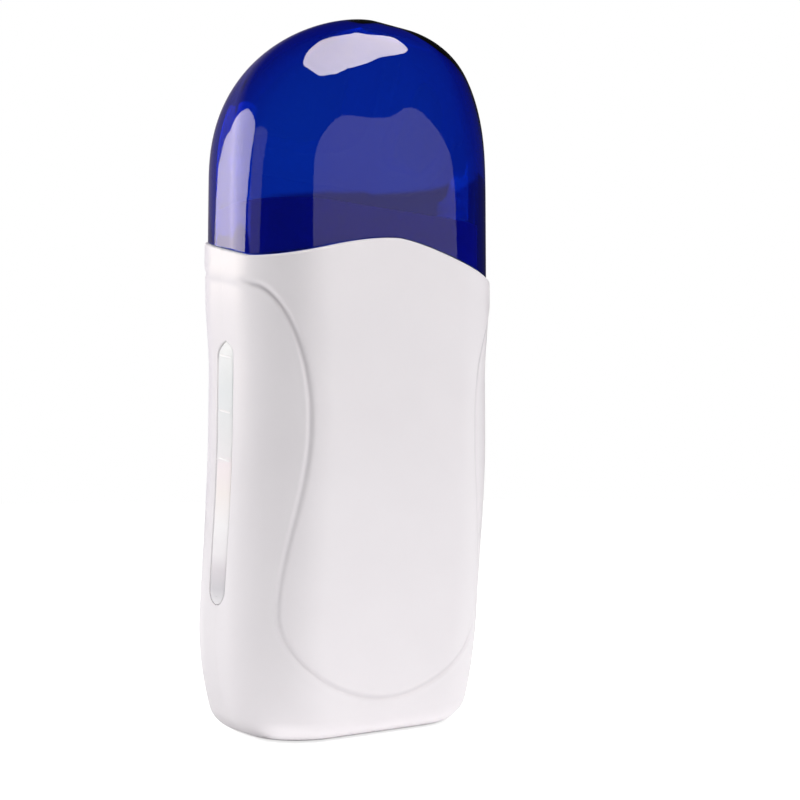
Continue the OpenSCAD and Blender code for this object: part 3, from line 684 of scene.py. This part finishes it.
def capSection(z, inset):
    c = capForm
    top = c["top"] - inset
    halfWidth = (c["halfWidth"] - inset) * closing(z, c["top"] - c["sideDrop"], top, 4, 1.89)
    front = -c["ahead"] - (c["halfDepth"] - inset - c["ahead"]) * closing(z, c["top"] - c["frontDrop"], top, 2.8, 2.8)
    rear = -c["ahead"] + (c["halfDepth"] - inset + c["ahead"]) * closing(z, c["top"] - c["rearDrop"], top, 2.2, 1.3)
    halfDepth = (rear - front) / 2
    limit = np.minimum(halfWidth, halfDepth)
    radius = (c["corner"] - inset) * limit / ((c["corner"] - inset) ** 8 + limit ** 8) ** 0.125
    return halfWidth, halfDepth, (front + rear) / 2, np.minimum(radius, limit * 0.985)


def capRing():
    # for each point of a section: its corner arc's place, as signs that run on between corners, and its turn
    ring = []
    c = capForm
    corners = ((1, 1, 0), (-1, 1, 90), (-1, -1, 180), (1, -1, 270))
    for index, (sx, sy, first) in enumerate(corners):
        for k in range(c["cornerSteps"] + 1):
            a = math.radians(first + 90 * k / c["cornerSteps"])
            ring.append((sx, sy, math.cos(a), math.sin(a)))
        nx, ny, _ = corners[(index + 1) % 4]
        steps = c["flatSteps"] if index % 2 == 0 else c["endSteps"]
        a = math.radians(first + 90)
        for k in range(1, steps):
            t = k / steps
            ring.append((sx + (nx - sx) * t, sy + (ny - sy) * t, math.cos(a), math.sin(a)))
    return np.array(ring)


def capMesh(name):
    c = capForm
    ring = capRing()
    n = len(ring)
    crownStart = c["top"] - c["sideDrop"] + c["skirtRise"]
    scaleX = body["halfWidth"] + body["collarSide"]
    scaleY = body["halfDepth"] + body["collarFront"]
    x = (ring[:, 0] * (c["halfWidth"] - c["corner"]) + c["corner"] * ring[:, 2]) * scaleX / c["halfWidth"]
    y = (ring[:, 1] * (c["halfDepth"] - c["corner"]) + c["corner"] * ring[:, 3]) * scaleY / c["halfDepth"]
    low = rimOver(x, y, y < 0) + c["edgeGap"]
    levels = c["skirtRows"] + c["crownRows"]

    def skin(inset):
        rows = []
        top = c["top"] - inset
        for k in range(levels):
            if k < c["skirtRows"]:
                z = low + (crownStart - low) * k / c["skirtRows"]
            else:
                turn = math.pi / 2 * (k - c["skirtRows"]) / c["crownRows"]
                z = np.full(n, crownStart + (top - crownStart) * math.sin(turn))
            halfWidth, halfDepth, middle, radius = capSection(z, inset)
            px = ring[:, 0] * (halfWidth - radius) + radius * ring[:, 2]
            py = middle + ring[:, 1] * (halfDepth - radius) + radius * ring[:, 3]
            rows.append(np.stack([px, py, z], -1))
        return np.concatenate(rows + [np.array([[0, -c["ahead"], top]])])

    outer, inner = skin(0.0), skin(c["wall"])
    size = len(outer)
    last = (levels - 1) * n
    faces = bandFaces(levels, n) + bandFaces(levels, n, size, flip=True)
    for i in range(n):
        j = (i + 1) % n
        faces.append((last + i, last + j, size - 1))
        faces.append((size + last + j, size + last + i, 2 * size - 1))
        faces.append((j, i, size + i, size + j))
    mesh = meshFrom(name, np.concatenate([outer, inner]), faces)
    mesh.set_sharp_from_angle(angle=math.radians(60))
    return mesh


capFinish = {"ior": 1.5, "roughness": (0.004, 0.014), "dye": (0.0, 0.652, 0.895), "density": 2760.0}
capBlue, tree, capShader, place = newMaterial("translucentCobalt")
setValues(capShader, {"Base Color": (1, 1, 1, 1), "Transmission Weight": 1, "IOR": capFinish["ior"]})
polish = rangeOf(tree, noiseFrom(tree, place, 60.0), *capFinish["roughness"])
tree.links.new(polish, capShader.inputs["Roughness"])
bumpFrom(tree, noiseFrom(tree, place, 35.0, 1.0), capShader, 0.00001, 0.3)
# The colour deepens with the wall's length along the view, and light reaches the neck through the wall
dye = addNode(tree, "VolumeAbsorption", {"Color": (*capFinish["dye"], 1), "Density": capFinish["density"]})
lit = addNode(tree, "MixShader")
tree.links.new(addNode(tree, "LightPath").outputs["Is Shadow Ray"], lit.inputs["Fac"])
tree.links.new(capShader.outputs[0], lit.inputs[1])
tree.links.new(addNode(tree, "BsdfTransparent").outputs[0], lit.inputs[2])
output = tree.nodes["Material Output"]
tree.links.new(lit.outputs[0], output.inputs["Surface"])
tree.links.new(dye.outputs["Volume"], output.inputs["Volume"])
capDome = linkObject("capDome", capMesh("capDome"), capBlue)
print("cap dome", len(capDome.data.polygons))


# Level window with slanted marks

def mirrored(outline):
    # the whole loop from the outline of one side
    return np.concatenate([outline, outline[-2:0:-1] * (-1, 1)])


def resampleLoop(loop, count):
    closed = np.concatenate([loop, loop[:1]])
    top = int(loop[:, 1].argmax())
    half = count // 2
    parts = []
    for part, steps in ((closed[:top + 1], half), (closed[top:], count - half)):
        lengths = lengthsOf(part)
        at = np.linspace(0, lengths[-1], steps + 1)[:-1]
        parts.append(np.stack([np.interp(at, lengths, part[:, k]) for k in (0, 1)], -1))
    return np.concatenate(parts)


def windowMesh(name):
    spacing = 0.3
    n = len(mirrored(windowOutline(-window["gap"], spacing)))
    face = body["halfWidth"] - window["sink"]
    points = []
    for shrink, rise in window["layers"]:
        loop = resampleLoop(mirrored(windowOutline(-window["gap"] - shrink, spacing)), n)
        points += [(-(face + rise), centreY(p[1]) - p[0], p[1]) for p in loop]
    faces = bandFaces(len(window["layers"]), n)
    last = (len(window["layers"]) - 1) * n
    half = n // 2
    for i in range(half - 1):
        faces.append((last + i, last + i + 1, last + (n - i - 1) % n, last + (n - i) % n))
        faces.append((i + 1, i, (n - i) % n, (n - i - 1) % n))
    faces.append((last + half - 1, last + half, last + half + 1))
    faces.append((half, half - 1, half + 1))
    mesh = meshFrom(name, points, faces)
    mesh.set_sharp_from_angle(angle=math.radians(50))
    return mesh


# Colours up the window: lamp and holder at its foot, warm wax, then the pale upper part
windowFinish = {"low": 0.036, "high": 0.108, "ior": 1.33, "roughness": (0.34, 0.42), "stops": (
    (0.0, (0.80, 0.78, 0.80)), (0.06, (0.62, 0.60, 0.63)), (0.13, (0.70, 0.66, 0.69)), (0.19, (0.84, 0.81, 0.83)),
    (0.3, (0.90, 0.88, 0.89)), (0.42, (0.90, 0.84, 0.82)), (0.53, (0.89, 0.81, 0.83)),
    (0.56, (0.82, 0.80, 0.81)), (0.8, (0.76, 0.78, 0.79)), (1.0, (0.84, 0.84, 0.84)))}
clearWindow, tree, windowShader, place = newMaterial("clearWindowPlastic")
split = addNode(tree, "SeparateXYZ")
tree.links.new(place, split.inputs["Vector"])
climb = rangeOf(tree, split.outputs["Z"], 0, 1, windowFinish["low"], windowFinish["high"])
tree.links.new(colourRamp(tree, climb, windowFinish["stops"]), windowShader.inputs["Base Color"])
windowShader.inputs["IOR"].default_value = windowFinish["ior"]
polish = rangeOf(tree, noiseFrom(tree, place, 220.0), *windowFinish["roughness"])
tree.links.new(polish, windowShader.inputs["Roughness"])
bumpFrom(tree, noiseFrom(tree, place, 500.0), windowShader, 0.00002, 0.3)
levelWindow = linkObject("levelWindow", windowMesh("levelWindow"), clearWindow)
print("level window", len(levelWindow.data.polygons))


# Repeated small parts, placed by one Geometry Nodes tree

def placeOnPoints(name, source, points, material):
    # copies of the source mesh stand on the points and are made real
    cloud = bpy.data.meshes.new(name + "Points")
    cloud.from_pydata([tuple(np.array(p) * mm) for p in points], [], [])
    carrier = linkObject(name, cloud)
    sourceObject = linkObject(name + "Source", source)
    tree = bpy.data.node_groups.new(name + "Tree", "GeometryNodeTree")
    for label, kind in (("Points", "Geometry"), ("Piece", "Object"), ("Size", "Float"), ("Finish", "Material")):
        tree.interface.new_socket(label, in_out="INPUT", socket_type="NodeSocket" + kind)
    tree.interface.new_socket("Result", in_out="OUTPUT", socket_type="NodeSocketGeometry")
    entry, leave, info, copies, real, finish = (tree.nodes.new(kind) for kind in (
        "NodeGroupInput", "NodeGroupOutput", "GeometryNodeObjectInfo", "GeometryNodeInstanceOnPoints",
        "GeometryNodeRealizeInstances", "GeometryNodeSetMaterial"))
    for before, fromSocket, after, toSocket in (
            (entry, "Points", copies, "Points"), (entry, "Piece", info, "Object"),
            (info, "Geometry", copies, "Instance"), (entry, "Size", copies, "Scale"),
            (copies, "Instances", real, "Geometry"), (real, "Geometry", finish, "Geometry"),
            (entry, "Finish", finish, "Material"), (finish, "Geometry", leave, "Result")):
        tree.links.new(before.outputs[fromSocket], after.inputs[toSocket])
    modifier = carrier.modifiers.new("placing", "NODES")
    modifier.node_group = tree
    sockets = {item.name: item.identifier for item in tree.interface.items_tree if item.in_out == "INPUT"}
    modifier[sockets["Piece"]] = sourceObject
    modifier[sockets["Size"]] = 1.0
    modifier[sockets["Finish"]] = material
    bpy.context.view_layer.update()
    made = bpy.data.meshes.new_from_object(carrier.evaluated_get(bpy.context.evaluated_depsgraph_get()))
    carrier.modifiers.remove(modifier)
    carrier.data = made
    bpy.data.objects.remove(sourceObject)
    made.set_sharp_from_angle(angle=math.radians(35))
    return carrier


# Radius and height of the rings from the shank's tip to the head's top, and the cross recess
screwForm = {
    "around": 32, "crossDepths": ((2.0, 1.0), (1.3, 0.8)), "crossCorner": ((0.32, 0.32), (1.3, 0.32), (1.3, -0.32)),
    "rings": ((0.0, -14.0), (0.9, -14.0), (1.3, -13.2), (1.3, 0.0), (2.45, 0.0), (2.6, 0.25), (2.6, 1.1),
              (2.45, 1.55), (2.05, 1.88), (1.55, 2.0)),
}


def screwSource(name):
    # a pan head with a cross recess, looking along +Y, and its shank
    around = screwForm["around"]
    turns = [2 * math.pi * k / around for k in range(around)]
    points = [(radius * math.cos(a), y, radius * math.sin(a)) for radius, y in screwForm["rings"] for a in turns]
    faces = bandFaces(len(screwForm["rings"]), around, flip=True)
    last, start = len(points) - around, len(points)
    cross = set()
    for quarter in range(4):
        c, s = math.cos(quarter * math.pi / 2), math.sin(quarter * math.pi / 2)
        for dx, dz in screwForm["crossCorner"]:
            cross.add((round(dx * c + dz * s, 4), round(dz * c - dx * s, 4)))
    cross = sorted(cross, key=lambda p: math.atan2(p[1], p[0]))
    for depth, scale in screwForm["crossDepths"]:
        points += [(px * scale, depth, pz * scale) for px, pz in cross]
    m = len(cross)
    for k in range(m):
        n = (k + 1) % m
        faces.append((start + k, start + n, start + m + n, start + m + k))
    faces.append(tuple(start + m + k for k in range(m))[::-1])

    # triangles between the head's top ring and the edge of the recess, in step by their angles
    angles = [math.atan2(p[1], p[0]) for p in cross]
    rimAngles = [a - 2 * math.pi if a > math.pi else a for a in turns]
    order = sorted(range(around), key=lambda k: rimAngles[k])
    i = j = 0
    while i < around or j < m:
        nextRim = rimAngles[order[i % around]] + (2 * math.pi if i >= around else 0)
        nextCross = angles[j % m] + (2 * math.pi if j >= m else 0)
        a, b = last + order[i % around], start + j % m
        if i < around and (j >= m or nextRim <= nextCross):
            faces.append((a, last + order[(i + 1) % around], b))
            i += 1
        else:
            faces.append((a, start + (j + 1) % m, b))
            j += 1
    return meshFrom(name, points, faces)


zincSteel = drawnMetal("zincPlatedSteel", (0.52, 0.53, 0.56), (0.66, 0.66, 0.68), (0.22, 0.36), (900, 200, 900))
screwPoints = [(hand * screws[key][0], screws[key][2], screws[key][1])
               for key in ("upper", "lower") for hand in (-1, 1)]
shellScrews = placeOnPoints("shellScrews", screwSource("screwSource"), screwPoints, zincSteel)
print("shell screws", len(shellScrews.data.polygons))


marks = {
    "heights": (75.5, 88.5, 103.6), "faceX": -40.72, "half": 3.3, "slope": 0.18, "height": 0.34, "rise": 0.14,
    "steps": 14, "endSize": 0.1,
    "profile": ((-0.1, -1.0), (0.45, -0.8), (0.8, -0.35), (1.0, 0.1), (0.7, 0.6), (0.3, 0.9), (-0.1, 1.0)),
}


def markSource(name):
    # one slanted level mark: a low rounded rib on the window's face
    points = []
    steps, m = marks["steps"], len(marks["profile"])
    for k in range(steps + 1):
        t = -1 + 2 * k / steps
        size = math.sqrt(max(1 - abs(t) ** 6, 0.0)) * (1 - marks["endSize"]) + marks["endSize"]
        for rise, up in marks["profile"]:
            points.append((-marks["rise"] * rise * size, t * marks["half"],
                           marks["slope"] * t * marks["half"] + up * marks["height"] * size))
    faces = bandFaces(steps + 1, m)
    faces.append(tuple(range(m))[::-1])
    faces.append(tuple(steps * m + i for i in range(m)))
    return meshFrom(name, points, faces)


markPoints = [(marks["faceX"], float(centreY(z)), z) for z in marks["heights"]]
paleMark = mouldedPlastic("paleMark", (0.90, 0.88, 0.89), (0.94, 0.92, 0.93), (0.4, 0.5))
shaderOf(paleMark).inputs["IOR"].default_value = windowFinish["ior"]
levelMarks = placeOnPoints("levelMarks", markSource("markSource"), markPoints, paleMark)
print("level marks", len(levelMarks.data.polygons))


# The other CAD pieces keep their shapes and get a finish each

# Name, two colours, roughness, then for a plastic its grain, bump and flow, and for a metal its lines
plastics = {
    "neck_collar": ("slateBluePlastic", (0.09, 0.13, 0.68), (0.12, 0.16, 0.76), (0.62, 0.72)),
    "heating_stones": ("denseCeramic", (0.13, 0.125, 0.12), (0.19, 0.18, 0.17), (0.55, 0.7), 2500.0, 0.00003),
    "inner_film": ("amberFilm", (0.48, 0.22, 0.02), (0.58, 0.30, 0.04), (0.12, 0.2), 300.0),
    "thermostat": ("ivoryHousing", (0.68, 0.66, 0.58), (0.74, 0.72, 0.65), (0.4, 0.55), 1500.0),
    "thermal_fuse": ("khakiGlaze", (0.42, 0.34, 0.16), (0.5, 0.42, 0.22), (0.15, 0.3), 800.0),
    "platform": ("greyMoulding", (0.30, 0.30, 0.32), (0.36, 0.36, 0.38), (0.4, 0.55), 1200.0, 0.00002),
    "circuit_board": ("greenLaminate", (0.03, 0.12, 0.04), (0.05, 0.18, 0.07), (0.25, 0.45), 700.0, 0.00002, 400.0),
    "board_parts": ("dippedCoating", (0.32, 0.04, 0.02), (0.42, 0.07, 0.03), (0.12, 0.22), 500.0),
    "indicator_lamp": ("tintedLampResin", (0.62, 0.05, 0.02), (0.72, 0.08, 0.03), (0.08, 0.16), 300.0),
    "lamp_holder": ("mattBlack", (0.022, 0.022, 0.024), (0.035, 0.035, 0.038), (0.42, 0.58), 1600.0, 0.00003),
    "live_wire": ("brownInsulation", (0.15, 0.05, 0.02), (0.20, 0.07, 0.03), (0.35, 0.5)),
    "neutral_wire": ("blueInsulation", (0.02, 0.08, 0.42), (0.03, 0.12, 0.52), (0.35, 0.5)),
    "lamp_wires": ("whiteInsulation", (0.68, 0.68, 0.65), (0.76, 0.76, 0.73), (0.35, 0.5)),
}
metals = {
    "heating_well": ("drawnAluminium", (0.70, 0.70, 0.72), (0.80, 0.80, 0.81), (0.22, 0.38)),
    "heat_spreader": ("extrudedAluminium", (0.62, 0.63, 0.65), (0.72, 0.72, 0.73), (0.3, 0.45)),
    "inner_electrode": ("rolledBrass", (0.70, 0.48, 0.18), (0.78, 0.58, 0.26), (0.2, 0.34)),
    "inlet_pins": ("nickelBrass", (0.66, 0.60, 0.46), (0.76, 0.71, 0.58), (0.14, 0.26), (900, 60, 900)),
}
finishes = {node: mouldedPlastic(*values) for node, values in plastics.items()}
finishes.update((node, drawnMetal(*values)) for node, values in metals.items())
finishes["clamp_bar"] = zincSteel
shaderOf(finishes["indicator_lamp"]).inputs["Transmission Weight"].default_value = 0.55
sameAs = {
    "outer_electrode": "inner_electrode", "outer_film": "inner_film", "clamp_screws": "clamp_bar",
    "board_screws": "clamp_bar", "inlet_socket": "lamp_holder", "fuse_wire": "live_wire",
    "thermostat_wire": "neutral_wire",
}
for node, other in sameAs.items():
    finishes[node] = finishes[other]
for node, material in finishes.items():
    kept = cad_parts[node]
    if not kept.material_slots:
        kept.data.materials.append(None)
    for materialSlot in kept.material_slots:
        materialSlot.material = material
print("finishes", len(finishes))


# Riding: each piece rides on its body and hides the CAD pieces it replaces; the slot names stand in the table but
# nothing here uses them

for piece, replaced, slotName, bodyName in (
        (frontShell, ("front_shell",), "shell_white", "root"),
        (rearShell, ("rear_shell",), "shell_white", "root"),
        (screwTubes, (), "shell_white", "root"),
        (levelWindow, ("level_window",), "window_clear", "root"),
        (levelMarks, (), "window_clear", "root"),
        (shellScrews, ("shell_screws",), "screw_steel", "root"),
        (capDome, ("cap",), "cap_blue", "cap")):
    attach(piece, bodyName)
    if replaced:
        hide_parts(*replaced)


# Floor, world and lamps

studio = {
    "floorSize": 4.0, "floorColour": 0.88, "floorGlow": (0.72, 0.86), "floorFade": (0.3, 1.2), "ambient": 0.3,
    "throughLow": (0.16, 0.17, 0.42), "edgeTilt": -0.062, "edge": (0.2015, 0.2055), "behind": (0.6, 0.85),
    "glossFront": (0.04, 0.04, 0.04), "glossBehind": (0.27, 0.24, 0.34), "cardTint": (1.0, 0.9, 0.79),
}


def makeFloor():
    size = studio["floorSize"]
    mesh = bpy.data.meshes.new("floor")
    mesh.from_pydata([(-size, -size, 0), (size, -size, 0), (size, size, 0), (-size, size, 0)], [], [(0, 1, 2, 3)])
    material = bpy.data.materials.new("paleFloor")
    tree = emptyTree(material)
    material.cycles.emission_sampling = "NONE"
    diffuse = addNode(tree, "BsdfDiffuse", {"Color": (*[studio["floorColour"]] * 3, 1)})
    away = addNode(tree, "VectorMath", operation="LENGTH")
    tree.links.new(addNode(tree, "TexCoord").outputs["Object"], away.inputs[0])
    # the floor fades into the white backdrop
    further = rangeOf(tree, away.outputs["Value"], *studio["floorGlow"], *studio["floorFade"])
    glow = addNode(tree, "Emission", {"Color": (1, 1, 1, 1)})
    cameraRay = addNode(tree, "LightPath").outputs["Is Camera Ray"]
    tree.links.new(mathOf(tree, "MULTIPLY", cameraRay, further), glow.inputs["Strength"])
    both = addNode(tree, "AddShader")
    tree.links.new(diffuse.outputs[0], both.inputs[0])
    tree.links.new(glow.outputs[0], both.inputs[1])
    tree.links.new(both.outputs[0], addNode(tree, "OutputMaterial").inputs["Surface"])
    mesh.materials.append(material)
    linkObject("floor", mesh)


def makeWorld():
    world = bpy.data.worlds.new("studio")
    scene.world = world
    tree = emptyTree(world)
    path = addNode(tree, "LightPath").outputs
    split = addNode(tree, "SeparateXYZ")
    tree.links.new(addNode(tree, "TexCoord").outputs["Generated"], split.inputs["Vector"])
    white = (1.0, 1.0, 1.0)
    # a slightly tilted edge, seen through the cap: bright above it and dim below
    tilted = mathOf(tree, "MULTIPLY_ADD", split.outputs["X"], studio["edgeTilt"], split.outputs["Z"])
    above = rangeOf(tree, tilted, 0, 1, *studio["edge"])
    through = mixColours(tree, above, studio["throughLow"], white)
    # gloss sees the white surroundings only behind the object
    behind = rangeOf(tree, split.outputs["Y"], 0, 1, *studio["behind"])
    gloss = mixColours(tree, behind, studio["glossFront"], studio["glossBehind"])
    colour = mixColours(tree, path["Is Glossy Ray"], (studio["ambient"],) * 3, gloss)
    colour = mixColours(tree, path["Is Transmission Ray"], colour, through)
    colour = mixColours(tree, path["Is Camera Ray"], colour, white)
    background = addNode(tree, "Background")
    tree.links.new(colour, background.inputs["Color"])
    tree.links.new(background.outputs[0], addNode(tree, "OutputWorld").inputs["Surface"])


def directionOf(place):
    # the azimuth runs from the back (+Y) towards the right (+X)
    a, e = math.radians(place["azimuth"]), math.radians(place["elevation"])
    return Vector((math.sin(a) * math.cos(e), math.cos(a) * math.cos(e), math.sin(e)))


softLamps = {
    "sideSoftbox": {"azimuth": -47, "elevation": 21, "distance": 1.0, "size": (0.95, 0.36), "power": 7.8},
    "topSoftbox": {"azimuth": 152, "elevation": 62, "distance": 1.0, "size": (0.6, 0.6), "power": 6.8},
    "lowRightFill": {"azimuth": 120, "elevation": -2, "distance": 0.8, "size": (0.4, 0.2), "power": 1.05},
}
footLamp = {"size": 0.32, "power": 0.105, "at": (0.06, -0.14, 0.001)}


def addLamp(name, shape, power):
    data = bpy.data.lights.new(name, "AREA")
    data.shape = shape
    data.energy = power
    lamp = bpy.data.objects.new(name, data)
    lamp.visible_glossy = False
    scene.collection.objects.link(lamp)
    return lamp


def makeLamps():
    middle = Vector((0, 0, 0.16))
    for name, place in softLamps.items():
        lamp = addLamp(name, "RECTANGLE", place["power"])
        lamp.data.size, lamp.data.size_y = place["size"]
        away = directionOf(place)
        turn = away.to_track_quat("Z", "Y").to_matrix().to_4x4()
        lamp.matrix_world = Matrix.Translation(middle + away * place["distance"]) @ turn
    # a disc just above the floor in front of the object lights its foot from below
    disc = addLamp("footGlow", "DISK", footLamp["power"])
    disc.data.size = footLamp["size"]
    disc.matrix_world = Matrix.Translation(footLamp["at"]) @ Matrix.Rotation(math.pi, 4, "X")
    disc.visible_camera = False


# Cards that only gloss sees, with their outlines in millimetres on a plane one metre from the cap
glossCards = {
    "sideCard": {"azimuth": 319.6, "elevation": 21.2, "strength": 5.7, "fade": (100, 420), "outline": (
        (330, -330), (330, -215), (255, -173), (214, -140), (212, -109), (219, -68), (227, -36), (225, -5),
        (47, 31), (-303, 95), (-517, 107), (-720, 90), (-774, 51), (-745, 11), (-663, -56), (-587, -110),
        (-486, -151), (-465, -196), (-465, -330))},
    "sideVeil": {"azimuth": 319.6, "elevation": 21.2, "strength": 0.7, "outline": (
        (-552, -188), (-573, -141), (-690, -95), (-756, -41), (-800, 60), (-909, 98), (-1169, 171), (-1659, 280),
        (-1632, 217), (-1431, 105), (-1325, 23), (-1278, -20), (-1200, -188))},
    "crownPanel": {"azimuth": 159.0, "elevation": 30.4, "strength": 13.5, "outline": (
        (1019, 569), (978, 695), (877, 751), (659, 685), (351, 389), (-52, 112), (-249, 119), (-304, 231),
        (-345, 303), (-350, 297), (-306, 154), (-262, -57), (-234, -142), (-216, -162), (-194, -172), (-169, -178),
        (28, -151), (340, -60), (562, 49), (925, 386))},
    "frontCard": {"azimuth": 155.8, "elevation": 16.6, "strength": 1.05, "outline": (
        (546, -260), (546, -100), (546, -48), (512, -9), (448, 4), (328, 8), (99, 6), (-101, 11), (-130, 17),
        (-149, 15), (-168, 15), (-182, 19), (-191, 27), (-198, 29), (-210, 26), (-222, 16), (-234, 3), (-244, -13),
        (-250, -29), (-253, -47), (-256, -66), (-261, -94), (-271, -117), (-290, -260))},
}


def rounded(outline, rounds=2):
    # cuts the corners of a closed outline
    for _ in range(rounds):
        cut = []
        for (ax, ay), (bx, by) in zip(outline, outline[1:] + outline[:1]):
            cut += [(ax * 0.75 + bx * 0.25, ay * 0.75 + by * 0.25), (ax * 0.25 + bx * 0.75, ay * 0.25 + by * 0.75)]
        outline = cut
    return outline


def makeGlossCard(name, card):
    away = directionOf(card)
    right = away.cross(Vector((0, 0, 1))).normalized()
    up = right.cross(away)
    middle = Vector((0, -0.02, 0.17)) + away
    outline = rounded(list(card["outline"]))
    mesh = bpy.data.meshes.new(name)
    mesh.from_pydata([middle + right * (x * mm) + up * (y * mm) for x, y in outline], [],
                     [list(range(len(outline)))])
    material = bpy.data.materials.new(name + "Glow")
    tree = emptyTree(material)
    material.cycles.emission_sampling = "NONE"
    # seen on outer surfaces only, and not inside the cap
    depth = addNode(tree, "LightPath").outputs["Transmission Depth"]
    shown = mathOf(tree, "MULTIPLY", mathOf(tree, "LESS_THAN", depth, 0.5), card["strength"])
    if "fade" in card:
        # one end is soft, by the distance along the card's width
        along = addNode(tree, "VectorMath", {1: right}, operation="DOT_PRODUCT")
        tree.links.new(addNode(tree, "TexCoord").outputs["Object"], along.inputs[0])
        full, gone = (middle.dot(right) + end * mm for end in card["fade"])
        soft = rangeOf(tree, along.outputs["Value"], 0, 1, gone, full, interpolation_type="SMOOTHSTEP")
        shown = mathOf(tree, "MULTIPLY", shown, soft)
    glow = addNode(tree, "Emission", {"Color": (*studio["cardTint"], 1)})
    tree.links.new(shown, glow.inputs["Strength"])
    tree.links.new(glow.outputs[0], addNode(tree, "OutputMaterial").inputs["Surface"])
    mesh.materials.append(material)
    piece = linkObject(name, mesh)
    piece.visible_camera = False
    piece.visible_diffuse = False
    piece.visible_transmission = False
    piece.visible_shadow = False


makeFloor()
makeWorld()
for name, card in glossCards.items():
    makeGlossCard(name, card)
makeLamps()
print("studio", len(glossCards), "cards and", len(softLamps) + 1, "lamps")

scene.view_settings.view_transform = "Standard"
